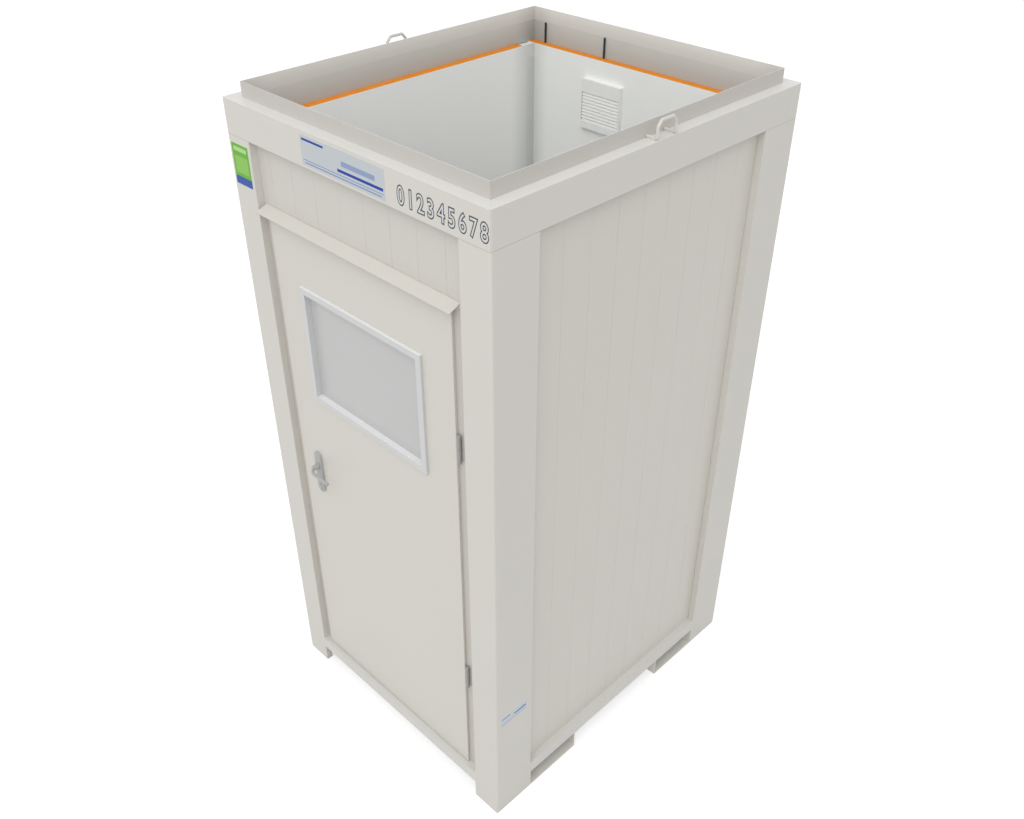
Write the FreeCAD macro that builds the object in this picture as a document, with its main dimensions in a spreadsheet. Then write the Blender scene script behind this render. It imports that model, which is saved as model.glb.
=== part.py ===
import FreeCAD, Part
import os
import re

# Portable toilet cabin: a steel frame with insulated wall panels, shown with its roof lifted off.
# Millimetres, +Z up, the door faces -Y, the origin is on the ground in the middle of the whole.

doc = FreeCAD.newDocument("toilet_cabin")
dims = doc.addObject("Spreadsheet::Sheet", "dims")
pieces = []


# Driving dimensions
SIZES = {
    # Cutting tools and fits
    "overrun": 1,
    "seat_gap": 0.5,
    "slide_fit": 0.3,
    "running_fit": 0.08,
    # Overall frame
    "cabin_wide": 1200,
    "cabin_deep": 1400,
    "ledge_top": 2492,
    "steel": 3,
    "frame_round": 8,
    "lip_deep": 26,
    "post_front": 120,
    "post_side": 180,
    "top_rail_high": 114,
    "top_rail_wide": 48,
    "inner_web_high": 76,
    "collar_high": 48,
    "collar_thick": 2,
    "fork_high": 82,
    "fork_wide": 258,
    "bottom_rail_high": 55,
    "rail_flange": 100,
    "rail_foot": 60,
    # Lifting eyes
    "eye_bar": 10,
    "eye_inset": 8,
    "eye_half": 41,
    "eye_top_half": 26,
    "eye_shoulder": 33,
    "eye_rise": 50,
    # Walls and floor
    "panel_thick": 56,
    "skin": 1.5,
    "side_panel_gap": 122,
    "end_panel_gap": 30,
    "foam_short": 22,
    "groove_pitch": 116.6,
    "groove_wide": 18,
    "groove_deep": 0.3,
    "cover_drop": 46,
    "board_thick": 21,
    "floor_sheet_thick": 2,
    # Door frame and door
    "jamb_sheet": 2,
    "door_left": 150,
    "door_right": 175,
    "door_low": 140,
    "leaf_drop": 30,
    "door_proud": 10,
    "rebate_thick": 7,
    "rebate_wide": 15,
    "leaf_thick": 40,
    "frame_play": 2,
    "head_drop": 322,
    "sill_high": 15,
    "sill_stop": 24,
    "drip_past_lock": 19,
    "drip_past_hinge": 30,
    "drip_out": 44,
    "drip_fall": 18,
    "drip_flange": 20,
    # Window in the door
    "window_side": 137.5,
    "window_drop": 206,
    "window_high": 448,
    "window_lip": 23,
    "window_lip_thick": 10,
    "window_round": 2,
    "window_sleeve": 4,
    "pane_thick": 20,
    "pane_depth": 12,
    # Hinges and lock
    "hinge_out": 11,
    "hinge_radius": 7,
    "hinge_pin": 4,
    "hinge_long": 104,
    "hinge_foot": 6,
    "hinge_low_in": 497,
    "hinge_high_in": 476,
    "lock_in": 102,
    "lever_height": 1168,
    "lever_reach": 41,
    "lever_bar": 6,
    "lever_bend": 20,
    "lever_long": 116,
    "neck_radius": 8,
    "neck_long": 18,
    "neck_stand": 2,
    "spindle": 8,
    "plate_wide": 40,
    "plate_drop": 123,
    "plate_high": 185,
    "plate_thick": 9,
    "lock_centres": 92,
    "case_wide": 101,
    "case_thick": 18,
    "case_high": 196,
    "case_drop": 158,
    "forend_thick": 3,
    "forend_wide": 20,
    "forend_high": 236,
    "forend_drop": 178,
    "latch_thick": 12,
    "latch_high": 20,
    "latch_out": 12,
    "latch_tail": 45,
    "latch_bevel": 11,
    "strike_play": 1.5,
    "bolt_high": 30,
    "bolt_long": 28,
    "bolt_rise": 20,
    "bolt_travel": 20,
    "barrel_radius": 8.5,
    "barrel_stem_wide": 10,
    "barrel_stem_high": 24.5,
    "key_slot_wide": 2,
    "key_slot_high": 10,
    "thumb_shaft": 3,
    "thumb_shaft_long": 18,
    "thumb_disc": 13,
    "thumb_disc_thick": 6,
    "thumb_grip_wide": 7,
    "thumb_grip_high": 24,
    "thumb_grip_deep": 14,
    # Ventilation
    "vent_in": 440,
    "vent_drop": 242,
    "vent_wide": 186,
    "vent_deep": 18,
    "vent_cowl_deep": 15,
    "vent_sheet": 3,
    "vent_hole_wide": 150,
    "vent_hole_high": 110,
    "slat_pitch": 12,
    "slot_high": 7,
    # Toilet
    "rim_high": 400,
    "bowl_half_wide": 180,
    "bowl_half_long": 230,
    "bowl_wall": 26,
    "pan_wall": 15,
    "bowl_from_wall": 388,
    "outlet_radius": 37,
    "pipe_wall": 4,
    "pipe_from_wall": 56,
    "seat_thick": 20,
    "seat_wide": 58,
    "seat_back": 10,
    "pivot_in": 30,
    "pivot_rise": 14,
    "pivot_pin": 4,
    "pivot_post": 16,
    "pivot_post_in": 66,
    "pivot_round": 12,
    "cistern_wide": 380,
    "cistern_deep": 160,
    "cistern_high": 380,
    "cistern_wall": 6,
    "cistern_round": 25,
    "button_radius": 20,
    "button_high": 20,
    "button_stand": 6,
    "button_sleeve": 25,
    # Paper roll
    "roll_radius": 55,
    "roll_bore": 20,
    "roll_long": 100,
    "roll_height": 860,
    "roll_from_wall": 75,
    "roll_from_front": 880,
    "holder_sheet": 4,
    "holder_high": 60,
    "holder_margin": 12,
}
for row, (alias, value) in enumerate(SIZES.items(), start=1):
    dims.set(f"A{row}", alias)
    dims.set(f"B{row}", str(value))
    dims.setAlias(f"B{row}", alias)
doc.recompute()


def number(alias):
    return float(dims.get(alias))


def formula(text):
    """Points every size name in a formula at its cell in the sheet."""
    return re.sub(
        r"[a-z][a-z_]+",
        lambda word: "dims." + word.group(0) if word.group(0) in SIZES else word.group(0),
        str(text),
    )


# Planes and levels that many pieces share
LEFT = "(-cabin_wide / 2)"
RIGHT = "(cabin_wide / 2)"
FRONT = "((lever_reach - cabin_deep) / 2)"
BACK = "((lever_reach + cabin_deep) / 2)"
MIDDLE = "(lever_reach / 2)"
SILL = "(fork_high + bottom_rail_high)"
PANEL_TOP = "(ledge_top - inner_web_high)"
POST_TOP = "(ledge_top - top_rail_high)"
PANEL_HIGH = f"({PANEL_TOP} - {SILL})"
FLOOR = f"({SILL} + board_thick)"
WALL = "(lip_deep + panel_thick)"
DOOR_LEFT = f"({LEFT} + door_left)"
DOOR_RIGHT = f"({RIGHT} - door_right)"
DOOR_WIDE = f"({DOOR_RIGHT} - {DOOR_LEFT})"
HEAD_TOP = "(ledge_top - head_drop)"
DOOR_TOP = f"({HEAD_TOP} - leaf_drop)"
DOOR_HIGH = f"({DOOR_TOP} - door_low)"
DOOR_FACE = f"({FRONT} + lip_deep - door_proud)"
DOOR_BACK = f"({DOOR_FACE} + leaf_thick)"
WALL_FACE = f"({FRONT} + lip_deep)"
BODY_LEFT = f"({DOOR_LEFT} + rebate_wide)"
BODY_RIGHT = f"({DOOR_RIGHT} - rebate_wide)"
BODY_LOW = "(door_low + rebate_wide)"
BODY_TOP = f"({DOOR_TOP} - rebate_wide)"
BODY_WIDE = f"({DOOR_WIDE} - 2 * rebate_wide)"
BODY_HIGH = f"({DOOR_HIGH} - 2 * rebate_wide)"
OPENING_LEFT = f"({BODY_LEFT} - frame_play)"
OPENING_RIGHT = f"({BODY_RIGHT} + frame_play)"
OPENING_WIDE = f"({OPENING_RIGHT} - {OPENING_LEFT})"
WINDOW_X = f"({DOOR_LEFT} + window_side)"
WINDOW_WIDE = f"({DOOR_WIDE} - 2 * window_side)"
WINDOW_Z = f"({DOOR_TOP} - window_drop - window_high)"
LOCK_X = f"({DOOR_LEFT} + lock_in)"
LOCK_Y = f"({WALL_FACE} + forend_wide / 2)"
PLATE_LOW = "(lever_height - plate_drop)"
CYLINDER_Z = "(lever_height - lock_centres)"
BOLT_LOW = f"({CYLINDER_Z} + bolt_rise)"
REAR_FACE = f"({BACK} - {WALL})"
VENT_Z = "(ledge_top - vent_drop)"
RIM = f"({FLOOR} + rim_high)"
PIPE_Y = f"({REAR_FACE} - pipe_from_wall)"
PIPE_TOP = f"({FLOOR} + rim_high / 2)"
BOWL_Y = f"({REAR_FACE} - bowl_from_wall)"
PIVOT_Y = f"({BOWL_Y} + bowl_half_long - pivot_in)"
PIVOT_Z = f"({RIM} + pivot_rise)"

AXES = {
    "x": FreeCAD.Rotation(FreeCAD.Vector(0, 1, 0), 90),
    "y": FreeCAD.Rotation(FreeCAD.Vector(1, 0, 0), -90),
    "z": FreeCAD.Rotation(),
}


def put(thing, x, y, z):
    thing.setExpression("Placement.Base.x", formula(x))
    thing.setExpression("Placement.Base.y", formula(y))
    thing.setExpression("Placement.Base.z", formula(z))
    return thing


def box(x, y, z, wide, deep, high):
    block = doc.addObject("Part::Box", "block")
    block.setExpression("Length", formula(wide))
    block.setExpression("Width", formula(deep))
    block.setExpression("Height", formula(high))
    return put(block, x, y, z)


def rod(x, y, z, axis, radius, length):
    """A cylinder that starts at the point and runs along +axis."""
    bar = doc.addObject("Part::Cylinder", "rod")
    bar.Placement = FreeCAD.Placement(FreeCAD.Vector(), AXES[axis])
    bar.setExpression("Radius", formula(radius))
    bar.setExpression("Height", formula(length))
    return put(bar, x, y, z)


def ball(x, y, z, radius):
    round_end = doc.addObject("Part::Sphere", "ball")
    round_end.setExpression("Radius", formula(radius))
    return put(round_end, x, y, z)


def tilt(thing, direction, angle):
    """Turns a block about the X axis, or against it, by a bound angle."""
    axis = FreeCAD.Vector(direction, 0, 0)
    thing.Placement = FreeCAD.Placement(thing.Placement.Base, FreeCAD.Rotation(axis, 30))
    thing.setExpression("Placement.Rotation.Angle", formula(angle))
    return thing


def cone(x, y, z, axis, start_radius, end_radius, length):
    taper = doc.addObject("Part::Cone", "cone")
    taper.Placement = FreeCAD.Placement(FreeCAD.Vector(), AXES[axis])
    taper.setExpression("Radius1", formula(start_radius))
    taper.setExpression("Radius2", formula(end_radius))
    taper.setExpression("Height", formula(length))
    return put(taper, x, y, z)


def wedge(start, end, base, top, long):
    """A rail's block with both ends mitred at 45 degrees, from the outer depth start to end."""
    mitred = doc.addObject("Part::Wedge", "mitred")
    mitred.setExpression("Ymin", formula(start))
    mitred.setExpression("Ymax", formula(end))
    mitred.setExpression("Zmin", formula(base))
    mitred.setExpression("Z2min", formula(base))
    mitred.setExpression("Zmax", formula(top))
    mitred.setExpression("Z2max", formula(top))
    mitred.setExpression("Xmin", formula(f"{start} - {long} / 2"))
    mitred.setExpression("Xmax", formula(f"{long} / 2 - {start}"))
    mitred.setExpression("X2min", formula(f"{end} - {long} / 2"))
    mitred.setExpression("X2max", formula(f"{long} / 2 - {end}"))
    return mitred


def fuse(*things):
    joined = doc.addObject("Part::MultiFuse", "joined")
    joined.Shapes = list(things)
    joined.Refine = True
    return joined


def cut(base, *tools):
    left_over = doc.addObject("Part::Cut", "left_over")
    left_over.Base = base
    left_over.Tool = tools[0] if len(tools) == 1 else fuse(*tools)
    left_over.Refine = True
    return left_over


def common(first, second):
    shared = doc.addObject("Part::MultiCommon", "shared")
    shared.Shapes = [first, second]
    return shared


def group(*things):
    """Identical pieces that share one node, each still a solid of its own."""
    several = doc.addObject("Part::Compound", "several")
    several.Links = list(things)
    return several


def mirror(thing, direction):
    """The same piece on the other side of the cabin: direction x or y."""
    other = doc.addObject("Part::Mirroring", "mirrored")
    other.Source = thing
    other.Normal = FreeCAD.Vector(1, 0, 0) if direction == "x" else FreeCAD.Vector(0, 1, 0)
    if direction == "y":
        other.setExpression("Base.y", formula(MIDDLE))
    return other


def side_placed(thing):
    """Turns a rail made along X at the front into the left side's rail."""
    turned = doc.addObject("Part::Compound", "turned")
    turned.Links = [thing]
    turned.Placement = FreeCAD.Placement(FreeCAD.Vector(), FreeCAD.Rotation(FreeCAD.Vector(0, 0, 1), -90))
    return put(turned, LEFT, MIDDLE, 0)


def rounded(thing, edges, radius):
    soft = doc.addObject("Part::Fillet", "soft")
    soft.Base = thing
    soft.Edges = [(edge, radius, radius) for edge in edges]
    return soft


# A box's edges by number
UPRIGHT = [1, 3, 5, 7]
OUTER_CORNER = [1]
FRONT_UPRIGHT = [1, 5]
FRONT_EDGES = [1, 5, 9, 10]
BACK_EDGES = [3, 7, 11, 12]


def piece(label, thing):
    thing.Label = label
    pieces.append(thing)
    return thing


# Steel frame

def build_posts():
    """A folded corner post: two legs, a lip at each end, and a foot plate."""
    outside = box(LEFT, FRONT, 0, "post_front", "post_side", POST_TOP)
    inside = box(
        f"{LEFT} + steel", f"{FRONT} + steel", "steel",
        "post_front - 2 * steel", "post_side - 2 * steel", POST_TOP,
    )
    room = box(
        f"{LEFT} + lip_deep", f"{FRONT} + lip_deep", "-overrun",
        "post_front", "post_side", f"{POST_TOP} + 2 * overrun",
    )
    skin_out = rounded(outside, OUTER_CORNER, number("frame_round"))
    skin_in = rounded(inside, OUTER_CORNER, number("frame_round") - number("steel"))
    front_left = piece("corner_post_front_left", cut(skin_out, skin_in, room))
    piece("corner_post_front_right", mirror(front_left, "x"))
    rear_left = piece("corner_post_rear_left", mirror(front_left, "y"))
    piece("corner_post_rear_right", mirror(rear_left, "x"))


def top_rail(long):
    """A hollow stepped rail: wide above the panels and narrow in front of them."""
    upper = wedge("0", "top_rail_wide", PANEL_TOP, "ledge_top", long)
    lower = wedge("0", "lip_deep", POST_TOP, PANEL_TOP, long)
    upper_hollow = wedge(
        "steel", "top_rail_wide - steel", f"{PANEL_TOP} + steel", "ledge_top - steel", long
    )
    lower_hollow = wedge("steel", "lip_deep - steel", f"{POST_TOP} + steel", f"{PANEL_TOP} + steel", long)
    return cut(fuse(upper, lower), upper_hollow, lower_hollow)


def build_top_frame():
    """Four mitred rails, rounded to the posts' corners."""
    whole = box(LEFT, FRONT, 0, "cabin_wide", "cabin_deep", "ledge_top")
    outline = rounded(whole, UPRIGHT, number("frame_round"))
    front = put(top_rail("cabin_wide"), 0, FRONT, 0)
    front_rail = piece("top_rail_front", common(front, outline))
    piece("top_rail_rear", mirror(front_rail, "y"))
    side = side_placed(top_rail("cabin_deep"))
    left_rail = piece("top_rail_left", common(side, outline))
    piece("top_rail_right", mirror(left_rail, "x"))


def build_roof_collar():
    """An upright ring of sheet that locates the roof, welded to the ledge."""
    step = "(top_rail_wide - collar_thick - seat_gap)"
    inside = f"({step} + collar_thick)"
    outer = box(
        f"{LEFT} + {step}", f"{FRONT} + {step}", "ledge_top",
        f"cabin_wide - 2 * {step}", f"cabin_deep - 2 * {step}", "collar_high",
    )
    inner = box(
        f"{LEFT} + {inside}", f"{FRONT} + {inside}", "ledge_top - overrun",
        f"cabin_wide - 2 * {inside}", f"cabin_deep - 2 * {inside}", "collar_high + 2 * overrun",
    )
    piece("roof_collar", cut(outer, inner))


def bottom_rail(long, post):
    """A rolled channel: web between the posts, a wide top flange and a bottom flange."""
    clear = f"({long} - 2 * {post})"
    web = box(f"-{clear} / 2", 0, "fork_high", clear, "steel", "bottom_rail_high")
    ledge = box(f"-{clear} / 2", 0, f"{SILL} - steel", clear, "lip_deep", "steel")
    seat = wedge("lip_deep", "rail_flange", f"{SILL} - steel", SILL, long)
    foot = box(f"-{clear} / 2", 0, "fork_high", clear, "rail_foot", "steel")
    return fuse(web, ledge, seat, foot)


def build_bottom_frame():
    front = piece("bottom_rail_front", put(bottom_rail("cabin_wide", "post_front"), 0, FRONT, 0))
    piece("bottom_rail_rear", mirror(front, "y"))
    left = piece("bottom_rail_left", side_placed(bottom_rail("cabin_deep", "post_side")))
    piece("bottom_rail_right", mirror(left, "x"))


def build_fork_pockets():
    """Two channels across the underside, open upwards, for a truck's forks."""
    near = f"({FRONT} + post_side + seat_gap)"
    channel = cut(
        box(LEFT, near, 0, "cabin_wide", "fork_wide", "fork_high"),
        box(
            f"{LEFT} - overrun", f"{near} + steel", "steel",
            "cabin_wide + 2 * overrun", "fork_wide - 2 * steel", "fork_high",
        ),
    )
    piece("fork_pockets", group(channel, mirror(channel, "y")))


def build_lifting_eyes():
    """A bent round bar: two feet on the ledge, two legs, two shoulders and a top bar."""
    radius = "eye_bar / 2"
    leg_x = f"({LEFT} + eye_inset)"
    foot_end = f"({LEFT} + top_rail_wide - collar_thick - 2 * seat_gap)"
    near = f"({MIDDLE} - eye_half)"
    base = "(ledge_top + eye_bar / 2)"
    bend = f"({base} + eye_shoulder)"
    top = f"({base} + eye_rise)"
    step_in = "(eye_half - eye_top_half)"
    step_up = "(eye_rise - eye_shoulder)"
    foot = rod(leg_x, near, base, "x", radius, f"{foot_end} - {leg_x}")
    leg = rod(leg_x, near, base, "z", radius, "eye_shoulder")
    shoulder = rod(leg_x, near, bend, "z", radius, f"sqrt({step_in} ^ 2 + {step_up} ^ 2)")
    tilt(shoulder, -1, f"atan({step_in} / {step_up})")
    top_bar = rod(leg_x, f"{MIDDLE} - eye_top_half", top, "y", radius, "eye_top_half")
    half = fuse(
        foot,
        ball(leg_x, near, base, radius),
        leg,
        ball(leg_x, near, bend, radius),
        shoulder,
        ball(leg_x, f"{MIDDLE} - eye_top_half", top, radius),
        top_bar,
    )
    eye = fuse(half, mirror(half, "y"))
    piece("lifting_eyes", group(eye, mirror(eye, "x")))


# Walls and floor

def grooves(long, start, face, direction):
    """Shallow upright grooves rolled into an outer skin, evenly spaced about the wall's middle."""
    pairs = int((number(long) / 2 - number("side_panel_gap")) // number("groove_pitch")) + 1
    low = f"{SILL} - overrun"
    high = f"{PANEL_HIGH} + 2 * overrun"
    tools = []
    for step in range(-pairs, pairs):
        edge = f"({start} + ({step} + 0.5) * groove_pitch - groove_wide / 2)"
        if direction == "x":
            tools.append(box(edge, face, low, "groove_wide", "groove_deep", high))
        else:
            tools.append(box(face, edge, low, "groove_deep", "groove_wide", high))
    return tools


def build_side_walls():
    """Panels between the posts, with a lining that runs on to the end walls' faces."""
    near = f"({FRONT} + side_panel_gap)"
    deep = "(cabin_deep - 2 * side_panel_gap)"
    face = f"({LEFT} + lip_deep)"
    sheet = box(face, near, SILL, "skin", deep, PANEL_HIGH)
    foam = box(
        f"{face} + skin", f"{near} + foam_short", SILL,
        "panel_thick - 2 * skin", f"{deep} - 2 * foam_short", PANEL_HIGH,
    )
    lining = box(
        f"{face} + panel_thick - skin", f"{FRONT} + {WALL}", SILL,
        "skin", f"cabin_deep - 2 * {WALL}", PANEL_HIGH,
    )
    outer = piece("left_wall_outer_skin", cut(sheet, *grooves("cabin_deep", MIDDLE, face, "y")))
    core = piece("left_wall_core", foam)
    inner = piece("left_wall_inner_skin", lining)
    piece("right_wall_outer_skin", mirror(outer, "x"))
    piece("right_wall_core", mirror(core, "x"))
    piece("right_wall_inner_skin", mirror(inner, "x"))


def build_rear_wall():
    """The rear wall with its vent opening."""
    start = f"({LEFT} + end_panel_gap)"
    wide = "(cabin_wide - 2 * end_panel_gap)"
    face = f"({BACK} - lip_deep)"
    hole = box(
        f"{LEFT} + vent_in - vent_hole_wide / 2", REAR_FACE, f"{VENT_Z} - vent_hole_high / 2",
        "vent_hole_wide", "panel_thick", "vent_hole_high",
    )
    sheet = box(start, f"{face} - skin", SILL, wide, "skin", PANEL_HIGH)
    bands = grooves("cabin_wide", "0", f"{face} - groove_deep", "x")
    foam = box(start, f"{REAR_FACE} + skin", SILL, wide, "panel_thick - 2 * skin", PANEL_HIGH)
    lining = box(start, REAR_FACE, SILL, wide, "skin", PANEL_HIGH)
    piece("rear_wall_outer_skin", cut(sheet, hole, *bands))
    piece("rear_wall_core", cut(foam, hole))
    piece("rear_wall_inner_skin", cut(lining, hole))


def build_header():
    """The short panel over the door."""
    start = f"({LEFT} + end_panel_gap)"
    wide = "(cabin_wide - 2 * end_panel_gap)"
    high = f"({PANEL_TOP} - {HEAD_TOP})"
    sheet = box(start, WALL_FACE, HEAD_TOP, wide, "skin", high)
    foam = box(start, f"{WALL_FACE} + skin", HEAD_TOP, wide, "panel_thick - 2 * skin", high)
    lining = box(start, f"{WALL_FACE} + panel_thick - skin", HEAD_TOP, wide, "skin", high)
    piece("header_outer_skin", cut(sheet, *grooves("cabin_wide", "0", WALL_FACE, "x")))
    piece("header_core", foam)
    piece("header_inner_skin", lining)


def build_corner_covers():
    """A strip laid on the lining up each inside corner, on the floor board."""
    high = f"({PANEL_TOP} - cover_drop - {FLOOR})"
    front_left = box(
        f"{LEFT} + {WALL}", f"{FRONT} + {WALL}", FLOOR, "skin", f"side_panel_gap - {WALL}", high
    )
    rear_left = mirror(front_left, "y")
    covers = [front_left, mirror(front_left, "x"), rear_left, mirror(rear_left, "x")]
    piece("corner_covers", group(*covers))


def build_floor():
    """Steel sheet below, insulation between the rails, and the floor board on the rails' flanges."""
    sheet_low = "(fork_high + steel)"
    core_low = f"({sheet_low} + floor_sheet_thick)"
    hole = rod(0, PIPE_Y, 0, "z", "outlet_radius + seat_gap", f"{FLOOR} + overrun")
    sheet = box(
        f"{LEFT} + lip_deep", f"{FRONT} + lip_deep", sheet_low,
        "cabin_wide - 2 * lip_deep", "cabin_deep - 2 * lip_deep", "floor_sheet_thick",
    )
    core = box(
        f"{LEFT} + rail_flange", f"{FRONT} + rail_flange", core_low,
        "cabin_wide - 2 * rail_flange", "cabin_deep - 2 * rail_flange", f"{SILL} - {core_low}",
    )
    board = box(
        f"{LEFT} + {WALL}", f"{FRONT} + {WALL}", SILL,
        f"cabin_wide - 2 * {WALL}", f"cabin_deep - 2 * {WALL}", "board_thick",
    )
    piece("floor_sheet", cut(sheet, hole))
    piece("floor_core", cut(core, hole))
    piece("floor_board", cut(board, hole))


# Door frame

def tube(x, z, wide, high, open_ends):
    """A folded frame member as a box section, hollow along its length."""
    solid = box(x, WALL_FACE, z, wide, "panel_thick", high)
    inner_y = f"{WALL_FACE} + jamb_sheet"
    inner_deep = "panel_thick - 2 * jamb_sheet"
    if open_ends == "z":
        hollow = box(
            f"{x} + jamb_sheet", inner_y, f"{z} - overrun",
            f"{wide} - 2 * jamb_sheet", inner_deep, f"{high} + 2 * overrun",
        )
    else:
        hollow = box(
            f"{x} - overrun", inner_y, f"{z} + jamb_sheet",
            f"{wide} + 2 * overrun", inner_deep, f"{high} - 2 * jamb_sheet",
        )
    return cut(solid, hollow)


def build_jambs():
    """Left jamb with the places for latch and bolt, right jamb for the hinges, and the head."""
    high = f"({HEAD_TOP} - {SILL})"
    left_x = f"({LEFT} + {WALL})"
    notch_deep = f"({LOCK_Y} + latch_thick / 2 + strike_play - {WALL_FACE} + overrun)"
    latch_notch = box(
        f"{OPENING_LEFT} - latch_out", f"{WALL_FACE} - overrun",
        "lever_height - latch_high / 2 - strike_play",
        "latch_out + overrun", notch_deep, "latch_high + 2 * strike_play",
    )
    bolt_hole = box(
        f"{OPENING_LEFT} - jamb_sheet - overrun", f"{LOCK_Y} - latch_thick / 2 - strike_play",
        f"{BOLT_LOW} - strike_play",
        "jamb_sheet + 2 * overrun", "latch_thick + 2 * strike_play", "bolt_high + 2 * strike_play",
    )
    left_tube = tube(left_x, SILL, f"({OPENING_LEFT} - {left_x})", high, "z")
    right_tube = tube(OPENING_RIGHT, SILL, f"({RIGHT} - {WALL} - {OPENING_RIGHT})", high, "z")
    head_low = f"({BODY_TOP} + frame_play)"
    head = tube(OPENING_LEFT, head_low, OPENING_WIDE, f"({HEAD_TOP} - {head_low})", "x")
    piece("door_jamb_left", cut(left_tube, latch_notch, bolt_hole))
    piece("door_jamb_right", right_tube)
    piece("door_head", head)


def build_threshold():
    """A low sill with a stop behind the leaf."""
    stop_y = f"({DOOR_BACK} + 2 * frame_play)"
    sill = box(OPENING_LEFT, WALL_FACE, SILL, OPENING_WIDE, "panel_thick", "sill_high")
    stop = box(OPENING_LEFT, stop_y, SILL, OPENING_WIDE, f"{FRONT} + {WALL} - {stop_y}", "sill_stop")
    piece("threshold", fuse(sill, stop))


def build_drip_rail():
    """A folded strip over the door that throws rain forward."""
    start = f"({DOOR_LEFT} - drip_past_lock)"
    wide = f"({DOOR_WIDE} + drip_past_lock + drip_past_hinge)"
    edge_y = f"({WALL_FACE} - drip_out)"
    edge_z = f"({HEAD_TOP} - drip_fall - jamb_sheet)"
    slope_long = "sqrt(drip_out ^ 2 + drip_fall ^ 2)"
    slope = box(start, edge_y, edge_z, wide, slope_long, "jamb_sheet")
    tilt(slope, 1, "atan(drip_fall / drip_out)")
    flange = box(
        start, f"{WALL_FACE} - jamb_sheet", f"{HEAD_TOP} - drip_flange", wide, "jamb_sheet", "drip_flange"
    )
    before_wall = box(
        f"{start} - overrun", f"{edge_y} - jamb_sheet", f"{edge_z} - drip_flange",
        f"{wide} + 2 * overrun", "drip_out + jamb_sheet", "3 * drip_flange",
    )
    piece("drip_rail", common(fuse(slope, flange), before_wall))


# Door

def window_hole():
    """The opening that the window's sleeves line, through the whole leaf."""
    inset = "(window_lip - window_sleeve)"
    return box(
        f"{WINDOW_X} + {inset}", f"{DOOR_FACE} - overrun", f"{WINDOW_Z} + {inset}",
        f"{WINDOW_WIDE} - 2 * {inset}", "leaf_thick + 2 * overrun", f"window_high - 2 * {inset}",
    )


def barrel(play, start, length):
    """The keyhole-shaped section of a lock cylinder: a round head over a narrow stem."""
    head = rod(LOCK_X, start, CYLINDER_Z, "y", f"barrel_radius + {play}", length)
    stem = box(
        f"{LOCK_X} - barrel_stem_wide / 2 - {play}", start, f"{CYLINDER_Z} - barrel_stem_high - {play}",
        f"barrel_stem_wide + 2 * {play}", length, f"barrel_stem_high + {play}",
    )
    return fuse(head, stem)


def lock_holes():
    """The ways through the leaf for the lever's spindle and the lock cylinder."""
    start = f"{DOOR_FACE} - overrun"
    long = "leaf_thick + 2 * overrun"
    spindle_hole = rod(LOCK_X, start, "lever_height", "y", "neck_radius + frame_play", long)
    return [spindle_hole, barrel("overrun", start, long)]


def leaf_body(front, grow):
    """The leaf's thick middle from a front plane to the back, all sides moved in by grow."""
    return box(
        f"{BODY_LEFT} + {grow}", front, f"{BODY_LOW} + {grow}",
        f"{BODY_WIDE} - 2 * {grow}", f"{DOOR_BACK} - {grow} - {front}", f"{BODY_HIGH} - 2 * {grow}",
    )


def leaf_face(grow):
    """The leaf's thin overlapping face, all sides moved in by grow."""
    return box(
        f"{DOOR_LEFT} + {grow}", f"{DOOR_FACE} + {grow}", f"door_low + {grow}",
        f"{DOOR_WIDE} - 2 * {grow}", f"rebate_thick - 2 * {grow}", f"{DOOR_HIGH} - 2 * {grow}",
    )


def build_leaf():
    """A rebated leaf: pressed outer and inner trays over an insulated core."""
    tray_front = f"({DOOR_FACE} + rebate_thick - skin)"
    mouth = leaf_body(tray_front, "0")
    piece("door_outer_skin", cut(leaf_face("0"), leaf_face("skin"), mouth, window_hole(), *lock_holes()))
    forend_slot = box(
        f"{BODY_LEFT} - overrun", WALL_FACE, "lever_height - forend_drop",
        "skin + 2 * overrun", "forend_wide", "forend_high",
    )
    tray = leaf_body(tray_front, "0")
    hollow = leaf_body(f"({tray_front} - overrun)", "skin")
    piece("door_inner_skin", cut(tray, hollow, forend_slot, window_hole(), *lock_holes()))
    lock_pocket = box(
        BODY_LEFT, WALL_FACE, "lever_height - forend_drop",
        "forend_thick + case_wide", "forend_wide", "forend_high",
    )
    filling = fuse(leaf_face("skin"), leaf_body(f"({tray_front} - skin)", "skin"))
    piece("door_core", cut(filling, window_hole(), lock_pocket, *lock_holes()))


def window_side(lip_start, lip_edges, sleeve_start, sleeve_deep):
    """One clamping frame: a rounded lip on the leaf's face and a sleeve into the opening."""
    inset = "(window_lip - window_sleeve)"
    lip = rounded(
        box(WINDOW_X, lip_start, WINDOW_Z, WINDOW_WIDE, "window_lip_thick", "window_high"),
        lip_edges,
        number("window_round"),
    )
    sleeve = box(
        f"{WINDOW_X} + {inset}", sleeve_start, f"{WINDOW_Z} + {inset}",
        f"{WINDOW_WIDE} - 2 * {inset}", sleeve_deep, f"window_high - 2 * {inset}",
    )
    sight = box(
        f"{WINDOW_X} + window_lip", f"{DOOR_FACE} - 2 * window_lip_thick", f"{WINDOW_Z} + window_lip",
        f"{WINDOW_WIDE} - 2 * window_lip", "leaf_thick + 4 * window_lip_thick",
        "window_high - 2 * window_lip",
    )
    return cut(fuse(lip, sleeve), sight)


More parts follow.
